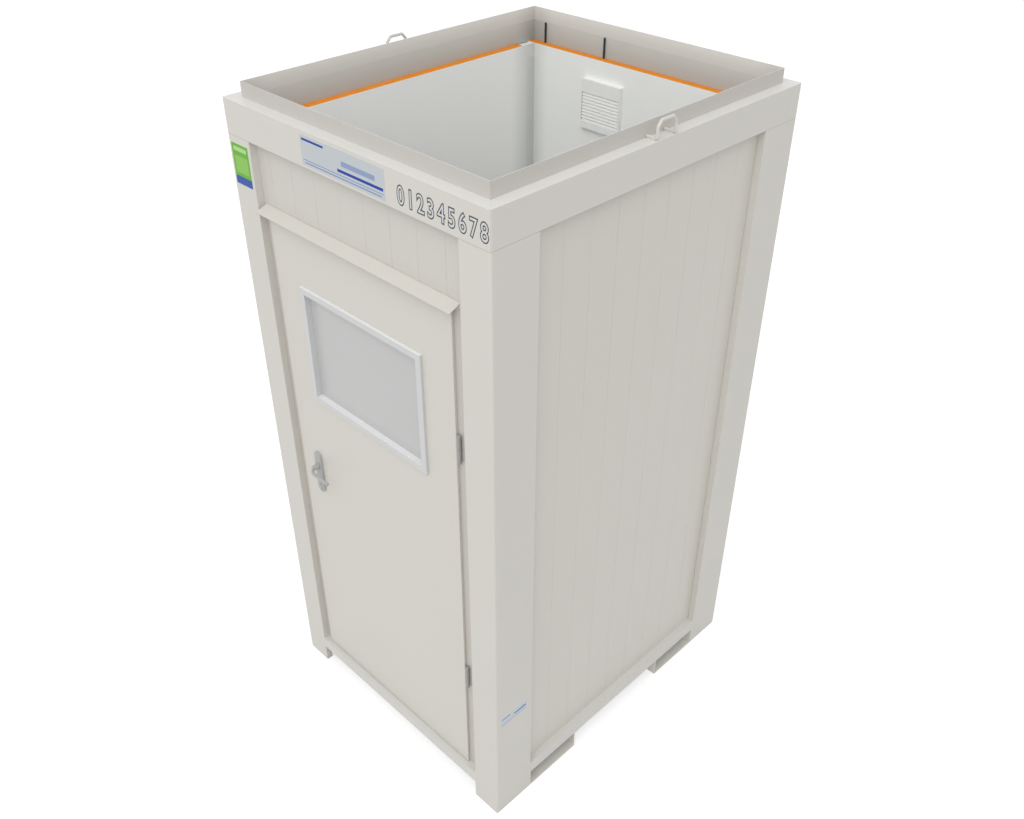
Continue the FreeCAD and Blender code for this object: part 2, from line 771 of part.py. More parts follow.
def build_window():
    """Two clamping frames, one on each face of the leaf, with the frosted pane between them."""
    inset = "(window_lip - window_sleeve)"
    inner_deep = "(leaf_thick - pane_depth - pane_thick)"
    outside = window_side(f"{DOOR_FACE} - window_lip_thick", FRONT_EDGES, DOOR_FACE, "pane_depth")
    inside = window_side(DOOR_BACK, BACK_EDGES, f"{DOOR_BACK} - {inner_deep}", inner_deep)
    pane = box(
        f"{WINDOW_X} + {inset}", f"{DOOR_FACE} + pane_depth", f"{WINDOW_Z} + {inset}",
        f"{WINDOW_WIDE} - 2 * {inset}", "pane_thick", f"window_high - 2 * {inset}",
    )
    piece("window_frames", group(outside, inside))
    piece("window_pane", pane)


def build_hinges():
    """Lift-off hinges: a barrel and pin welded to the frame, a barrel on the leaf's edge above it."""
    x = f"({DOOR_RIGHT} + hinge_out)"
    half = "(hinge_long / 2)"
    arm_high = f"({half} - 2 * hinge_foot)"
    leaf_parts = []
    frame_parts = []
    for middle in ("(door_low + hinge_low_in)", f"({DOOR_TOP} - hinge_high_in)"):
        lower = rod(x, DOOR_FACE, f"{middle} - {half}", "z", "hinge_radius", half)
        arm = box(
            f"{x} - steel / 2", DOOR_FACE, f"{middle} - {half} + hinge_foot", "steel", "door_proud", arm_high
        )
        pin = rod(x, DOOR_FACE, middle, "z", "hinge_pin", f"{half} - hinge_foot")
        frame_parts.append(fuse(lower, arm, pin))
        upper = rod(x, DOOR_FACE, f"{middle} + seat_gap", "z", "hinge_radius", f"{half} - seat_gap")
        strap = box(DOOR_RIGHT, DOOR_FACE, f"{middle} + hinge_foot", "hinge_out", "steel", arm_high)
        bore = rod(
            x, DOOR_FACE, f"{middle} - overrun", "z", "hinge_pin + running_fit",
            f"{half} - hinge_foot + 2 * overrun",
        )
        leaf_parts.append(cut(fuse(upper, strap), bore))
    piece("hinge_leaf_halves", group(*leaf_parts))
    piece("hinge_frame_halves", group(*frame_parts))


# Lock and handles

def handle_plate(start):
    """A long plate with round ends, holed for the lever's neck and the cylinder."""
    half = "(plate_wide / 2)"
    long = "plate_thick + 2 * overrun"
    middle = box(
        f"{LOCK_X} - {half}", start, f"{PLATE_LOW} + {half}",
        "plate_wide", "plate_thick", "plate_high - plate_wide",
    )
    low_end = rod(LOCK_X, start, f"{PLATE_LOW} + {half}", "y", half, "plate_thick")
    top_end = rod(LOCK_X, start, f"{PLATE_LOW} + plate_high - {half}", "y", half, "plate_thick")
    neck = rod(LOCK_X, f"{start} - overrun", "lever_height", "y", "neck_radius + seat_gap", long)
    return cut(fuse(middle, low_end, top_end), neck, barrel("slide_fit", f"{start} - overrun", long))


def lever(root, side):
    """A bent round bar: a neck out of the plate, a quarter bend, and the grip towards the hinges.

    root is the leaf's face and side is -1 on the outside, 1 on the inside.
    """
    reach = f"({DOOR_FACE} - {FRONT} + lever_reach - lever_bar)"
    turn = f"({root} + {side} * ({reach} - lever_bend))"
    stand = "(plate_thick + neck_stand)"
    thick_start = f"({root} + {side} * seat_gap)"
    neck_start = f"({root} + {side} * {stand})"
    if side < 0:
        neck = rod(LOCK_X, turn, "lever_height", "y", "lever_bar", f"{thick_start} - {turn}")
        collar = rod(LOCK_X, neck_start, "lever_height", "y", "neck_radius", f"{stand} - seat_gap")
        flare_start = f"{neck_start} - neck_long"
        flare = cone(LOCK_X, flare_start, "lever_height", "y", "lever_bar", "neck_radius", "neck_long")
    else:
        neck = rod(LOCK_X, thick_start, "lever_height", "y", "lever_bar", f"{turn} - {thick_start}")
        collar = rod(LOCK_X, thick_start, "lever_height", "y", "neck_radius", f"{stand} - seat_gap")
        flare = cone(LOCK_X, neck_start, "lever_height", "y", "neck_radius", "lever_bar", "neck_long")
    bend = doc.addObject("Part::Torus", "bend")
    bend.setExpression("Radius1", formula("lever_bend"))
    bend.setExpression("Radius2", formula("lever_bar"))
    bend.Angle3 = 90
    quarter = FreeCAD.Rotation(FreeCAD.Vector(0, 0, 1), 180 if side < 0 else 90)
    bend.Placement = FreeCAD.Placement(FreeCAD.Vector(), quarter)
    put(bend, f"{LOCK_X} + lever_bend", turn, "lever_height")
    grip = rod(
        f"{LOCK_X} + lever_bend", f"{root} + {side} * {reach}", "lever_height", "x",
        "lever_bar", "lever_long - lever_bend",
    )
    return [neck, collar, flare, bend, grip]


def build_levers():
    """The outer lever is socketed, and the inner one carries the square spindle through the lock."""
    start = f"({DOOR_FACE} - plate_thick)"
    low = "(lever_height - spindle / 2)"
    left = f"({LOCK_X} - spindle / 2)"
    socket = box(left, start, low, "spindle", "2 * plate_thick", "spindle")
    square = box(left, start, low, "spindle", f"{DOOR_BACK} + plate_thick - {start}", "spindle")
    piece("handle_plates", group(handle_plate(start), handle_plate(DOOR_BACK)))
    piece("lever_outer", cut(fuse(*lever(DOOR_FACE, -1)), socket))
    piece("lever_inner", fuse(*lever(DOOR_BACK, 1), square))


def latch_bevel_tool(x, y, z):
    """The three-sided block that bevels the latch's inner corner."""
    prism = doc.addObject("Part::Wedge", "bevel")
    for side, value in (
        ("Xmin", "-latch_bevel"), ("Xmax", "overrun"), ("X2min", "overrun"), ("X2max", "overrun"),
        ("Ymin", "-overrun"), ("Ymax", "latch_bevel"),
        ("Zmin", "-overrun"), ("Zmax", "latch_high + overrun"),
        ("Z2min", "-overrun"), ("Z2max", "latch_high + overrun"),
    ):
        prism.setExpression(side, formula(value))
    prism.Placement = FreeCAD.Placement(FreeCAD.Vector(), FreeCAD.Rotation(FreeCAD.Vector(0, 0, 1), 180))
    return put(prism, x, y, z)


def build_lock():
    """A mortise lock in the leaf's edge, with its latch and its dead bolt."""
    case = box(
        f"{BODY_LEFT} + forend_thick", f"{LOCK_Y} - case_thick / 2", "lever_height - case_drop",
        "case_wide", "case_thick", "case_high",
    )
    forend = box(
        BODY_LEFT, f"{LOCK_Y} - forend_wide / 2", "lever_height - forend_drop",
        "forend_thick", "forend_wide", "forend_high",
    )
    follower_hole = rod(LOCK_X, WALL_FACE, "lever_height", "y", "spindle", "forend_wide")
    room_y = f"{LOCK_Y} - latch_thick / 2 - slide_fit"
    room_deep = "latch_thick + 2 * slide_fit"
    latch_low = "(lever_height - latch_high / 2)"
    latch_room = box(
        f"{BODY_LEFT} - overrun", room_y, f"{latch_low} - slide_fit",
        "latch_tail + latch_out + 4 * overrun", room_deep, "latch_high + 2 * slide_fit",
    )
    bolt_room = box(
        f"{BODY_LEFT} - overrun", room_y, f"{BOLT_LOW} - slide_fit",
        "bolt_long + bolt_travel", room_deep, "bolt_high + 2 * slide_fit",
    )
    keyway = barrel("0", WALL_FACE, "forend_wide")
    piece("lock_case", cut(fuse(case, forend), follower_hole, latch_room, bolt_room, keyway))
    latch_y = f"({LOCK_Y} - latch_thick / 2)"
    latch = box(
        f"{BODY_LEFT} - latch_out", latch_y, latch_low, "latch_out + latch_tail", "latch_thick", "latch_high"
    )
    bevel = latch_bevel_tool(f"{BODY_LEFT} - latch_out", f"{latch_y} + latch_thick", latch_low)
    piece("latch_bolt", cut(latch, bevel))
    piece(
        "dead_bolt",
        box(f"{BODY_LEFT} + seat_gap", latch_y, BOLT_LOW, "bolt_long", "latch_thick", "bolt_high"),
    )


def build_cylinder():
    """The lock cylinder through the leaf, and the thumb turn on its inner end."""
    start = f"({DOOR_FACE} - plate_thick - neck_stand)"
    end = f"({DOOR_BACK} + plate_thick + neck_stand)"
    knob_start = f"({end} + seat_gap)"
    shaft_start = f"({knob_start} - thumb_shaft_long)"
    shaft_hole = rod(
        LOCK_X, f"{shaft_start} - overrun", CYLINDER_Z, "y", "thumb_shaft + running_fit",
        "thumb_shaft_long + 2 * overrun",
    )
    key_slot = box(
        f"{LOCK_X} - key_slot_wide / 2", f"{start} - overrun", f"{CYLINDER_Z} - key_slot_high / 2",
        "key_slot_wide", "thumb_shaft_long", "key_slot_high",
    )
    piece("lock_cylinder", cut(barrel("0", start, f"({end} - {start})"), shaft_hole, key_slot))
    shaft = rod(LOCK_X, shaft_start, CYLINDER_Z, "y", "thumb_shaft", "thumb_shaft_long + overrun")
    disc = rod(LOCK_X, knob_start, CYLINDER_Z, "y", "thumb_disc", "thumb_disc_thick")
    grip = box(
        f"{LOCK_X} - thumb_grip_wide / 2", f"{knob_start} + thumb_disc_thick - overrun",
        f"{CYLINDER_Z} - thumb_grip_high / 2", "thumb_grip_wide", "thumb_grip_deep", "thumb_grip_high",
    )
    piece("thumb_turn", fuse(shaft, disc, grip))


# Ventilation

def louvre(start, deep, hollow_start):
    """A shallow square cover, open towards the wall, with a row of level slots in its face."""
    left = f"({LEFT} + vent_in - vent_wide / 2)"
    low = f"({VENT_Z} - vent_wide / 2)"
    cover = box(left, start, low, "vent_wide", deep, "vent_wide")
    hollow = box(
        f"{left} + vent_sheet", hollow_start, f"{low} + vent_sheet",
        "vent_wide - 2 * vent_sheet", f"{deep} - vent_sheet", "vent_wide - 2 * vent_sheet",
    )
    slots = []
    for step in range(int(number("vent_hole_high") // number("slat_pitch"))):
        slots.append(box(
            f"{left} + (vent_wide - vent_hole_wide) / 2", f"{start} - overrun",
            f"{VENT_Z} - vent_hole_high / 2 + {step} * slat_pitch",
            "vent_hole_wide", f"{deep} + 2 * overrun", "slot_high",
        ))
    return cut(cover, hollow, *slots)


def build_vent():
    inner_start = f"({REAR_FACE} - vent_deep)"
    outer_start = f"({BACK} - lip_deep)"
    piece("vent_grille", louvre(inner_start, "vent_deep", f"{inner_start} + vent_sheet"))
    piece("vent_cowl", louvre(outer_start, "vent_cowl_deep", outer_start))


# Toilet

def ellipse(y, z, half_wide, half_long):
    """An ellipse on the toilet's middle line, with its long axis front to back."""
    ring = doc.addObject("Part::Ellipse", "ellipse")
    quarter = FreeCAD.Rotation(FreeCAD.Vector(0, 0, 1), 90)
    ring.Placement = FreeCAD.Placement(FreeCAD.Vector(), quarter)
    ring.setExpression("MajorRadius", formula(half_long))
    ring.setExpression("MinorRadius", formula(half_wide))
    return put(ring, 0, y, z)


def bowl_shape(levels, shrink):
    """A body through ellipses, each given as (height share of the rim, width share, length share)."""
    body = doc.addObject("Part::Loft", "loft")
    body.Sections = [
        ellipse(
            BOWL_Y, f"{FLOOR} + rim_high * {rise}",
            f"bowl_half_wide * {wide} - {shrink}", f"bowl_half_long * {long} - {shrink}",
        )
        for rise, wide, long in levels
    ]
    body.Solid = True
    return body


def build_soil_pipe():
    """The waste pipe, down through the floor and open below it."""
    low = "fork_high - 2 * floor_sheet_thick"
    outside = rod(0, PIPE_Y, low, "z", "outlet_radius", f"{PIPE_TOP} - ({low})")
    inside = rod(
        0, PIPE_Y, f"{low} - overrun", "z", "outlet_radius - pipe_wall",
        f"{PIPE_TOP} - ({low}) + 2 * overrun",
    )
    piece("soil_pipe", cut(outside, inside))


def outlet(radius, low):
    """The bent passage from the bowl to the waste pipe, as a solid of one radius."""
    level = f"({FLOOR} + rim_high * 0.6)"
    start = f"({BOWL_Y} + bowl_half_long * 0.5)"
    run = rod(0, start, level, "y", radius, f"{PIPE_Y} - {start}")
    drop = rod(0, PIPE_Y, low, "z", radius, f"{level} - ({low})")
    return fuse(run, ball(0, PIPE_Y, level, radius), drop)


def build_toilet_pan():
    """A one-piece pan: foot, bowl, the shelf that carries the cistern, and the outlet under it."""
    outside = bowl_shape([(0, 0.62, 0.7), (0.3, 0.56, 0.68), (0.75, 0.92, 0.95), (1, 1, 1)], "0")
    bowl = bowl_shape([(0.35, 0.42, 0.45), (0.6, 0.78, 0.8), (0.95, 1, 1), (1.02, 1, 1)], "bowl_wall")
    foot_room = bowl_shape([(-0.02, 0.62, 0.7), (0.27, 0.56, 0.68)], "pan_wall")
    shelf_y = f"({BOWL_Y} + bowl_half_long * 0.7)"
    shelf_half = "(bowl_half_wide * 0.8)"
    shelf = box(
        f"-{shelf_half}", shelf_y, PIPE_TOP,
        f"2 * {shelf_half}", f"{REAR_FACE} - {shelf_y}", f"{RIM} - {PIPE_TOP}",
    )
    room_y = f"({BOWL_Y} + bowl_half_long + overrun)"
    shelf_room = box(
        f"pan_wall - {shelf_half}", room_y, f"{PIPE_TOP} - overrun",
        f"2 * ({shelf_half} - pan_wall)", f"{REAR_FACE} - pan_wall - {room_y}",
        f"{RIM} - {PIPE_TOP} - pan_wall + overrun",
    )
    post = box(
        "pivot_post_in", f"{PIVOT_Y} - pivot_round", f"{RIM} - overrun",
        "pivot_post", "2 * pivot_round", "pivot_rise + overrun",
    )
    ear = rod("pivot_post_in", PIVOT_Y, PIVOT_Z, "x", "pivot_round", "pivot_post")
    hinge = fuse(post, ear)
    pin_hole = rod(
        "-pivot_post_in - 2 * pivot_post", PIVOT_Y, PIVOT_Z, "x", "pivot_pin + running_fit",
        "2 * (pivot_post_in + 2 * pivot_post)",
    )
    shell = cut(fuse(outside, shelf), shelf_room, foot_room)
    with_outlet = fuse(shell, outlet("outlet_radius", PIPE_TOP))
    whole = cut(with_outlet, bowl, outlet("outlet_radius - 2 * pipe_wall", f"{PIPE_TOP} - overrun"))
    piece("toilet_pan", cut(fuse(whole, hinge, mirror(hinge, "x")), pin_hole))


def oval_plate(z, half_wide, half_long, high):
    plate = doc.addObject("Part::Extrusion", "oval")
    plate.Base = ellipse(f"{BOWL_Y} - seat_back", z, half_wide, half_long)
    plate.DirMode = "Custom"
    plate.Dir = FreeCAD.Vector(0, 0, 1)
    plate.Solid = True
    plate.setExpression("LengthFwd", formula(high))
    return plate


def build_toilet_seat():
    """An oval ring that lifts about a bar between the pan's two hinge posts."""
    low = f"({RIM} + seat_gap)"
    ring = oval_plate(low, "bowl_half_wide - frame_play", "bowl_half_long - pivot_round", "seat_thick")
    opening = oval_plate(
        f"{low} - overrun", "bowl_half_wide - frame_play - seat_wide",
        "bowl_half_long - pivot_round - seat_wide", "seat_thick + 2 * overrun",
    )
    behind = box(
        "-bowl_half_wide", PIVOT_Y, f"{low} - overrun",
        "2 * bowl_half_wide", "bowl_half_long", "2 * seat_thick",
    )
    slot = box(
        "pivot_post_in - overrun", f"{PIVOT_Y} - pivot_round - overrun", f"{low} - overrun",
        "pivot_post + 2 * overrun", "bowl_half_long", "2 * seat_thick",
    )
    bar_half = "(pivot_post_in - 2 * overrun)"
    neck = box(
        f"-{bar_half}", f"{PIVOT_Y} - pivot_in", low, f"2 * {bar_half}", "pivot_in", "seat_thick"
    )
    bar = rod(f"-{bar_half}", PIVOT_Y, PIVOT_Z, "x", "pivot_round - seat_thick / 5", f"2 * {bar_half}")
    pin_half = "(pivot_post_in + pivot_post)"
    pin = rod(f"-{pin_half}", PIVOT_Y, PIVOT_Z, "x", "pivot_pin", f"2 * {pin_half}")
    plate = cut(fuse(ring, neck), opening, behind, slot, mirror(slot, "x"))
    piece("toilet_seat", fuse(plate, bar, pin))


def build_cistern():
    """A hollow tank on the pan's shelf, with a guide for the button in its top."""
    top = f"({RIM} + cistern_high)"
    front = f"({REAR_FACE} - cistern_deep)"
    outside = rounded(
        box("-cistern_wide / 2", front, RIM, "cistern_wide", "cistern_deep", "cistern_high"),
        FRONT_UPRIGHT,
        number("cistern_round"),
    )
    inside = rounded(
        box(
            "cistern_wall - cistern_wide / 2", f"{front} + cistern_wall", f"{RIM} + cistern_wall",
            "cistern_wide - 2 * cistern_wall", "cistern_deep - 2 * cistern_wall",
            "cistern_high - 2 * cistern_wall",
        ),
        FRONT_UPRIGHT,
        number("cistern_round") - number("cistern_wall"),
    )
    button_y = f"({REAR_FACE} - cistern_deep / 2)"
    guide = rod(0, button_y, f"{top} - button_sleeve", "z", "button_radius + vent_sheet", "button_sleeve")
    well = rod(
        0, button_y, f"{top} - button_sleeve - overrun", "z", "button_radius + seat_gap",
        "button_sleeve + 2 * overrun",
    )
    piece("cistern", cut(fuse(cut(outside, inside), guide), well))
    piece(
        "flush_button",
        rod(0, button_y, f"{top} + button_stand - button_high", "z", "button_radius", "button_high"),
    )


def build_paper_roll():
    """A wall plate with an arm and a spindle, and the roll of paper that turns on it."""
    wall = f"({LEFT} + {WALL})"
    x = f"({wall} + roll_from_wall)"
    y = f"({FRONT} + roll_from_front)"
    arm_y = f"({y} - holder_margin)"
    low = "(roll_height - holder_high / 2)"
    plate = box(wall, arm_y, low, "holder_sheet", "roll_long + 2 * holder_margin", "holder_high")
    arm = box(wall, arm_y, low, "roll_from_wall + roll_bore", "holder_sheet", "holder_high")
    spindle = rod(x, arm_y, "roll_height", "y", "roll_bore - running_fit", "roll_long + holder_margin")
    paper = rod(x, y, "roll_height", "y", "roll_radius", "roll_long")
    bore = rod(x, f"{y} - overrun", "roll_height", "y", "roll_bore", "roll_long + 2 * overrun")
    piece("paper_holder", fuse(plate, arm, spindle))
    piece("paper_roll", cut(paper, bore))


build_posts()
build_top_frame()
build_roof_collar()
build_bottom_frame()
build_fork_pockets()
build_lifting_eyes()
build_side_walls()
build_rear_wall()
build_header()
build_corner_covers()
build_floor()
build_jambs()
build_threshold()
build_drip_rail()
build_leaf()
build_window()
build_hinges()
build_levers()
build_lock()
build_cylinder()
build_vent()
build_soil_pipe()
build_toilet_pan()
build_toilet_seat()
build_cistern()
build_paper_roll()
doc.recompute()

failed = [thing.Name for thing in doc.Objects if {"Invalid", "Error"} & set(thing.State)]
for thing in pieces:
    if thing.Shape.isNull() or not thing.Shape.isValid() or not thing.Shape.Solids:
        failed.append(thing.Label)
if failed:
    raise SystemExit("failed: " + ", ".join(failed))

os.makedirs("parts", exist_ok=True)
for thing in pieces:
    thing.Shape.exportStep(os.path.join("parts", thing.Label + ".step"))
print(len(pieces), "pieces")
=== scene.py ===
import math

import bmesh
import bpy
from mathutils import Matrix, Vector


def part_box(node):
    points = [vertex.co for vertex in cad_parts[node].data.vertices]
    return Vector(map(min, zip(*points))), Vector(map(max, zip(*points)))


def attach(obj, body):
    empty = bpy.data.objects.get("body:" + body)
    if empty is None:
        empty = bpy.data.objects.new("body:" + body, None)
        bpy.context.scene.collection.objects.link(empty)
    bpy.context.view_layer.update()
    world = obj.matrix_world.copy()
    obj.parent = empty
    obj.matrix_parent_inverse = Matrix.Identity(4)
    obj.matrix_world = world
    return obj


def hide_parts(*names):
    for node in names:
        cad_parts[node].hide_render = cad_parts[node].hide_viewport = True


# Portable toilet cabin with its roof lifted off. Metres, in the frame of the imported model.

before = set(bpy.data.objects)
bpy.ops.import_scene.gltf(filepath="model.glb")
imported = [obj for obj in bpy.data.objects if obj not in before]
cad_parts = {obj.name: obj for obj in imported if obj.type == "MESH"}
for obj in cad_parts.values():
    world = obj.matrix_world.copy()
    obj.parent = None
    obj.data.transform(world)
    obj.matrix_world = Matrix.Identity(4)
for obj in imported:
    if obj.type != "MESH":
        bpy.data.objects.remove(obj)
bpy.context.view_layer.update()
scene = bpy.context.scene

# The camera stands where a fit to the photo's frame corners puts it: in front, to the right and above.
camera = bpy.data.objects.new("camera", bpy.data.cameras.new("camera"))
scene.collection.objects.link(camera)
camera.location = (2.2496, -2.2584, 3.5149)
camera.rotation_euler = [math.radians(angle) for angle in (54.754, -0.064, 44.947)]
camera.data.lens = 35.617
camera.data.sensor_width = 36
scene.camera = camera


# Steel frame: folded corner posts, hollow top rails, rolled bottom rails, fork channels and the upright
# collar that locates the roof, all welded from sheet. Two sprayed coats of satin paint soften every fold,
# show fine dimples close up, and leave a hairline where the rails meet the posts. The rails' upward faces
# carry a painted highlight, and painted shade darkens their inner faces; the collar is painted paler inside
# and darker outside, as painted light and shade.

def screen_colour(hex_text):
    """A hex colour as seen on screen, turned into the linear one that shaders use."""
    parts = [int(hex_text[start:start + 2], 16) / 255 for start in (0, 2, 4)]
    return [part / 12.92 if part <= 0.04045 else ((part + 0.055) / 1.055) ** 2.4 for part in parts] + [1]


def add_node(tree, kind, settings=(), **inputs):
    """Adds a shader node; an input is a value or another node's output, by name or as _ and its number."""
    made = tree.nodes.new("ShaderNode" + kind)
    for name, value in dict(settings).items():
        setattr(made, name, value)
    for name, value in inputs.items():
        socket = made.inputs[int(name[1:]) if name[1:].isdigit() else name.replace("_", " ")]
        if isinstance(value, bpy.types.NodeSocket):
            tree.links.new(value, socket)
        else:
            socket.default_value = value
    return made


def new_material(name, rough, metal=0.0, **values):
    """A material with its shader, its node tree and the object's own coordinates in metres."""
    made = bpy.data.materials.new(name)
    made.use_nodes = True
    tree = made.node_tree
    tree.nodes.clear()
    shader = add_node(tree, "BsdfPrincipled", Roughness=rough, Metallic=metal, **values)
    add_node(tree, "OutputMaterial", Surface=shader.outputs["BSDF"])
    place = add_node(tree, "TexCoord").outputs["Object"]
    return made, tree, shader, place


def colour_by(tree, shader, factor, low, high):
    """Colours a material between two hex colours as a factor goes from 0 to 1."""
    mixed = add_node(
        tree, "Mix", {"data_type": "RGBA"}, Factor=factor, _6=screen_colour(low), _7=screen_colour(high)
    )
    tree.links.new(mixed.outputs[2], shader.inputs["Base Color"])
    return mixed


def raise_by(tree, shader, height, depth, edge):
    """Raises a surface by a height times a depth in metres, over edges softened by a small radius."""
    soft = add_node(tree, "Bevel", {"samples": 4}, Radius=edge)
    bump = add_node(tree, "Bump", Height=height, Distance=depth, Normal=soft.outputs["Normal"])
    tree.links.new(bump.outputs["Normal"], shader.inputs["Normal"])


# Dimples of a sprayed coat are 1 to 2 mm apart; they are drawn about 2.4 mm apart so that they still show.
DIMPLES_PER_METRE = 420.0
DIMPLE_DEPTH = 0.00010
CLOUDS_PER_METRE = 2.3
GLOSS_PER_METRE = 9.0
ROUGH_BELOW = 0.06
ROUGH_ABOVE = 0.08
SOFT_FOLD = 0.0018
JOINT_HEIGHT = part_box("corner_post_front_left")[1].z
JOINT_HALF = 0.0009
# A face looks up, or into the cabin, when its normal goes that way by more than this.
LOOKS_UP = 0.5
LOOKS_ALONG = 0.1


def vary_gloss(tree, shader, factor, rough):
    """Varies the roughness a little as a factor goes from 0 to 1."""
    uneven = add_node(
        tree, "MapRange", Value=factor, To_Min=rough - ROUGH_BELOW, To_Max=rough + ROUGH_ABOVE
    )
    tree.links.new(uneven.outputs["Result"], shader.inputs["Roughness"])


def sprayed_paint(name, low, high, rough=0.42, edge=SOFT_FOLD):
    """Two-coat satin paint on steel: faint clouds in the colour, uneven gloss and fine dimples."""
    made, tree, shader, place = new_material(name, rough)
    clouds = add_node(tree, "TexNoise", Vector=place, Scale=CLOUDS_PER_METRE, Detail=4.0).outputs["Fac"]
    dimples = add_node(tree, "TexNoise", Vector=place, Scale=DIMPLES_PER_METRE, Detail=2.0).outputs["Fac"]
    gloss = add_node(tree, "TexNoise", Vector=place, Scale=GLOSS_PER_METRE).outputs["Fac"]
    vary_gloss(tree, shader, gloss, rough)
    colour_by(tree, shader, clouds, low, high)
    raise_by(tree, shader, dimples, DIMPLE_DEPTH, edge)
    return made


def present_colour(material):
    """A material's node tree, its shader's colour input, and the output that feeds that input now."""
    tree = material.node_tree
    shader = next(part for part in tree.nodes if part.type == "BSDF_PRINCIPLED")
    target = shader.inputs["Base Color"]
    return tree, target, target.links[0].from_socket


def lay_over(material, factor, tint, blend="MIX"):
    """Lays a tint over a material's colour as a factor goes from 0 to 1."""
    tree, target, below = present_colour(material)
    kind = {"data_type": "RGBA", "blend_type": blend}
    mixed = add_node(tree, "Mix", kind, Factor=factor, _6=below, _7=screen_colour(tint))
    tree.links.new(mixed.outputs[2], target)


def mark_joint(material):
    """Draws the hairline where the rails are welded to the posts."""
    tree = material.node_tree
    place = add_node(tree, "TexCoord").outputs["Object"]
    height = add_node(tree, "SeparateXYZ", Vector=place).outputs["Z"]
    line = add_node(tree, "Math", {"operation": "COMPARE"}, _0=height, _1=JOINT_HEIGHT, _2=JOINT_HALF)
    lay_over(material, line.outputs[0], "BFBBB4")


def paint_lit_tops(material, tint):
    """Paints the faces that look up paler: a painted highlight from above."""
    tree = material.node_tree
    normal = add_node(tree, "NewGeometry").outputs["Normal"]
    height = add_node(tree, "SeparateXYZ", Vector=normal).outputs["Z"]
    upward = add_node(tree, "Math", {"operation": "GREATER_THAN"}, _0=height, _1=LOOKS_UP)
    lay_over(material, upward.outputs[0], tint)


def paint_shade_on_faces(material, side, way, start, end, tint):
    """Paints shade on faces that look into the cabin (side 1) or out (side -1).

    The tint comes in as the distance from the cabin's middle, summed along way, goes from start to end.
    """
    tree = material.node_tree
    place = add_node(tree, "TexCoord").outputs["Object"]
    normal = add_node(tree, "NewGeometry").outputs["Normal"]
    centred = add_node(tree, "VectorMath", {"operation": "SUBTRACT"}, _0=place, _1=CABIN_MIDDLE)
    away = centred.outputs["Vector"]
    level = add_node(tree, "VectorMath", {"operation": "MULTIPLY"}, _0=away, _1=(-side, -side, 0))
    facing = add_node(
        tree, "VectorMath", {"operation": "DOT_PRODUCT"}, _0=level.outputs["Vector"], _1=normal
    ).outputs["Value"]
    turned = add_node(tree, "Math", {"operation": "GREATER_THAN"}, _0=facing, _1=LOOKS_ALONG)
    plain = add_node(tree, "VectorMath", {"operation": "ABSOLUTE"}, _0=away).outputs["Vector"]
    reached = add_node(tree, "VectorMath", {"operation": "DOT_PRODUCT"}, _0=plain, _1=way).outputs["Value"]
    share = add_node(
        tree, "MapRange", {"interpolation_type": "SMOOTHSTEP"}, Value=reached, From_Min=start, From_Max=end
    )
    both = add_node(tree, "Math", {"operation": "MULTIPLY"}, _0=turned.outputs[0], _1=share.outputs[0])
    lay_over(material, both.outputs[0], tint, "MULTIPLY")


def dress_nodes(material, *names):
    """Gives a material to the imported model's own pieces."""
    for name in names:
        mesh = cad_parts[name].data
        mesh.materials.clear()
        mesh.materials.append(material)


SIDES = ("left", "right")
ENDS = ("front", "rear")
collar_low, collar_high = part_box("roof_collar")
CABIN_MIDDLE = (0, (collar_low.y + collar_high.y) / 2, 0)
OPENING_CORNER = collar_high.x + collar_high.y - CABIN_MIDDLE[1]
OPENING_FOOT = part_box("left_wall_core")[1].z
# How far the painted shade reaches from the opening's corners; COLLAR_FADE sets where the painted shade on
# the collar's outside starts.
CORNER_PAINTED_SHADE = 0.12
COLLAR_FADE = 0.10
frame_paint, post_paint, rail_paint = [
    sprayed_paint(f"satin_{part}_paint", "D3D0C9", "D8D5CE") for part in ("frame", "post", "rail")
]
# The collar's paint is paler than the frame's, as painted light on its inner faces.
collar_paint = sprayed_paint("satin_collar_paint", "E6E3DD", "EAE7E1")
for paint in (post_paint, rail_paint):
    mark_joint(paint)
# Painted highlight: the rails' upward faces are painted paler.
paint_lit_tops(rail_paint, "DFDED9")
# Painted shade: the rails' inner faces darken towards the foam and towards the opening's corners.
paint_shade_on_faces(rail_paint, 1, (0, 0, 1), (collar_low.z + collar_high.z) / 2, OPENING_FOOT, "DDE3E6")
paint_shade_on_faces(rail_paint, 1, (1, 1, 0), OPENING_CORNER - CORNER_PAINTED_SHADE, OPENING_CORNER, "E2E4E6")
# Painted shade on the collar: its inner faces darken towards the foot and the corners, its outer faces
# darken overall.
paint_shade_on_faces(collar_paint, 1, (0, 0, 1), collar_high.z, collar_low.z, "EEEFEF")
paint_shade_on_faces(collar_paint, 1, (1, 1, 0), OPENING_CORNER - CORNER_PAINTED_SHADE, OPENING_CORNER, "F0F0F0")
paint_shade_on_faces(collar_paint, -1, (0, 0, 1), collar_low.z - COLLAR_FADE, collar_high.z, "D7D6D6")
dress_nodes(post_paint, *[f"corner_post_{end}_{side}" for end in ENDS for side in SIDES])
dress_nodes(rail_paint, *[f"top_rail_{side}" for side in SIDES + ENDS])
dress_nodes(collar_paint, "roof_collar")
sill_rail_paint = sprayed_paint("satin_sill_rail_paint", "D4D2CD", "D9D7D2")
dress_nodes(sill_rail_paint, *[f"bottom_rail_{side}" for side in SIDES + ENDS])
# The fork channels are painted paler than the frame, as painted light in their shaded insides.
dress_nodes(sprayed_paint("satin_fork_channel_paint", "E2DFD8", "E6E3DC"), "fork_pockets")


# Lifting eyes: one 10 mm round bar each, bent cold to two feet, two legs and a cropped arch, and welded with
# a bead along both sides of each foot before the frame is painted.

def round_edges(mesh, edges, soft, segments=3):
    """Rounds edges by a small radius."""
    bmesh.ops.bevel(
        mesh, geom=edges, offset=soft, segments=segments, profile=0.5, affect="EDGES", material=-1
    )


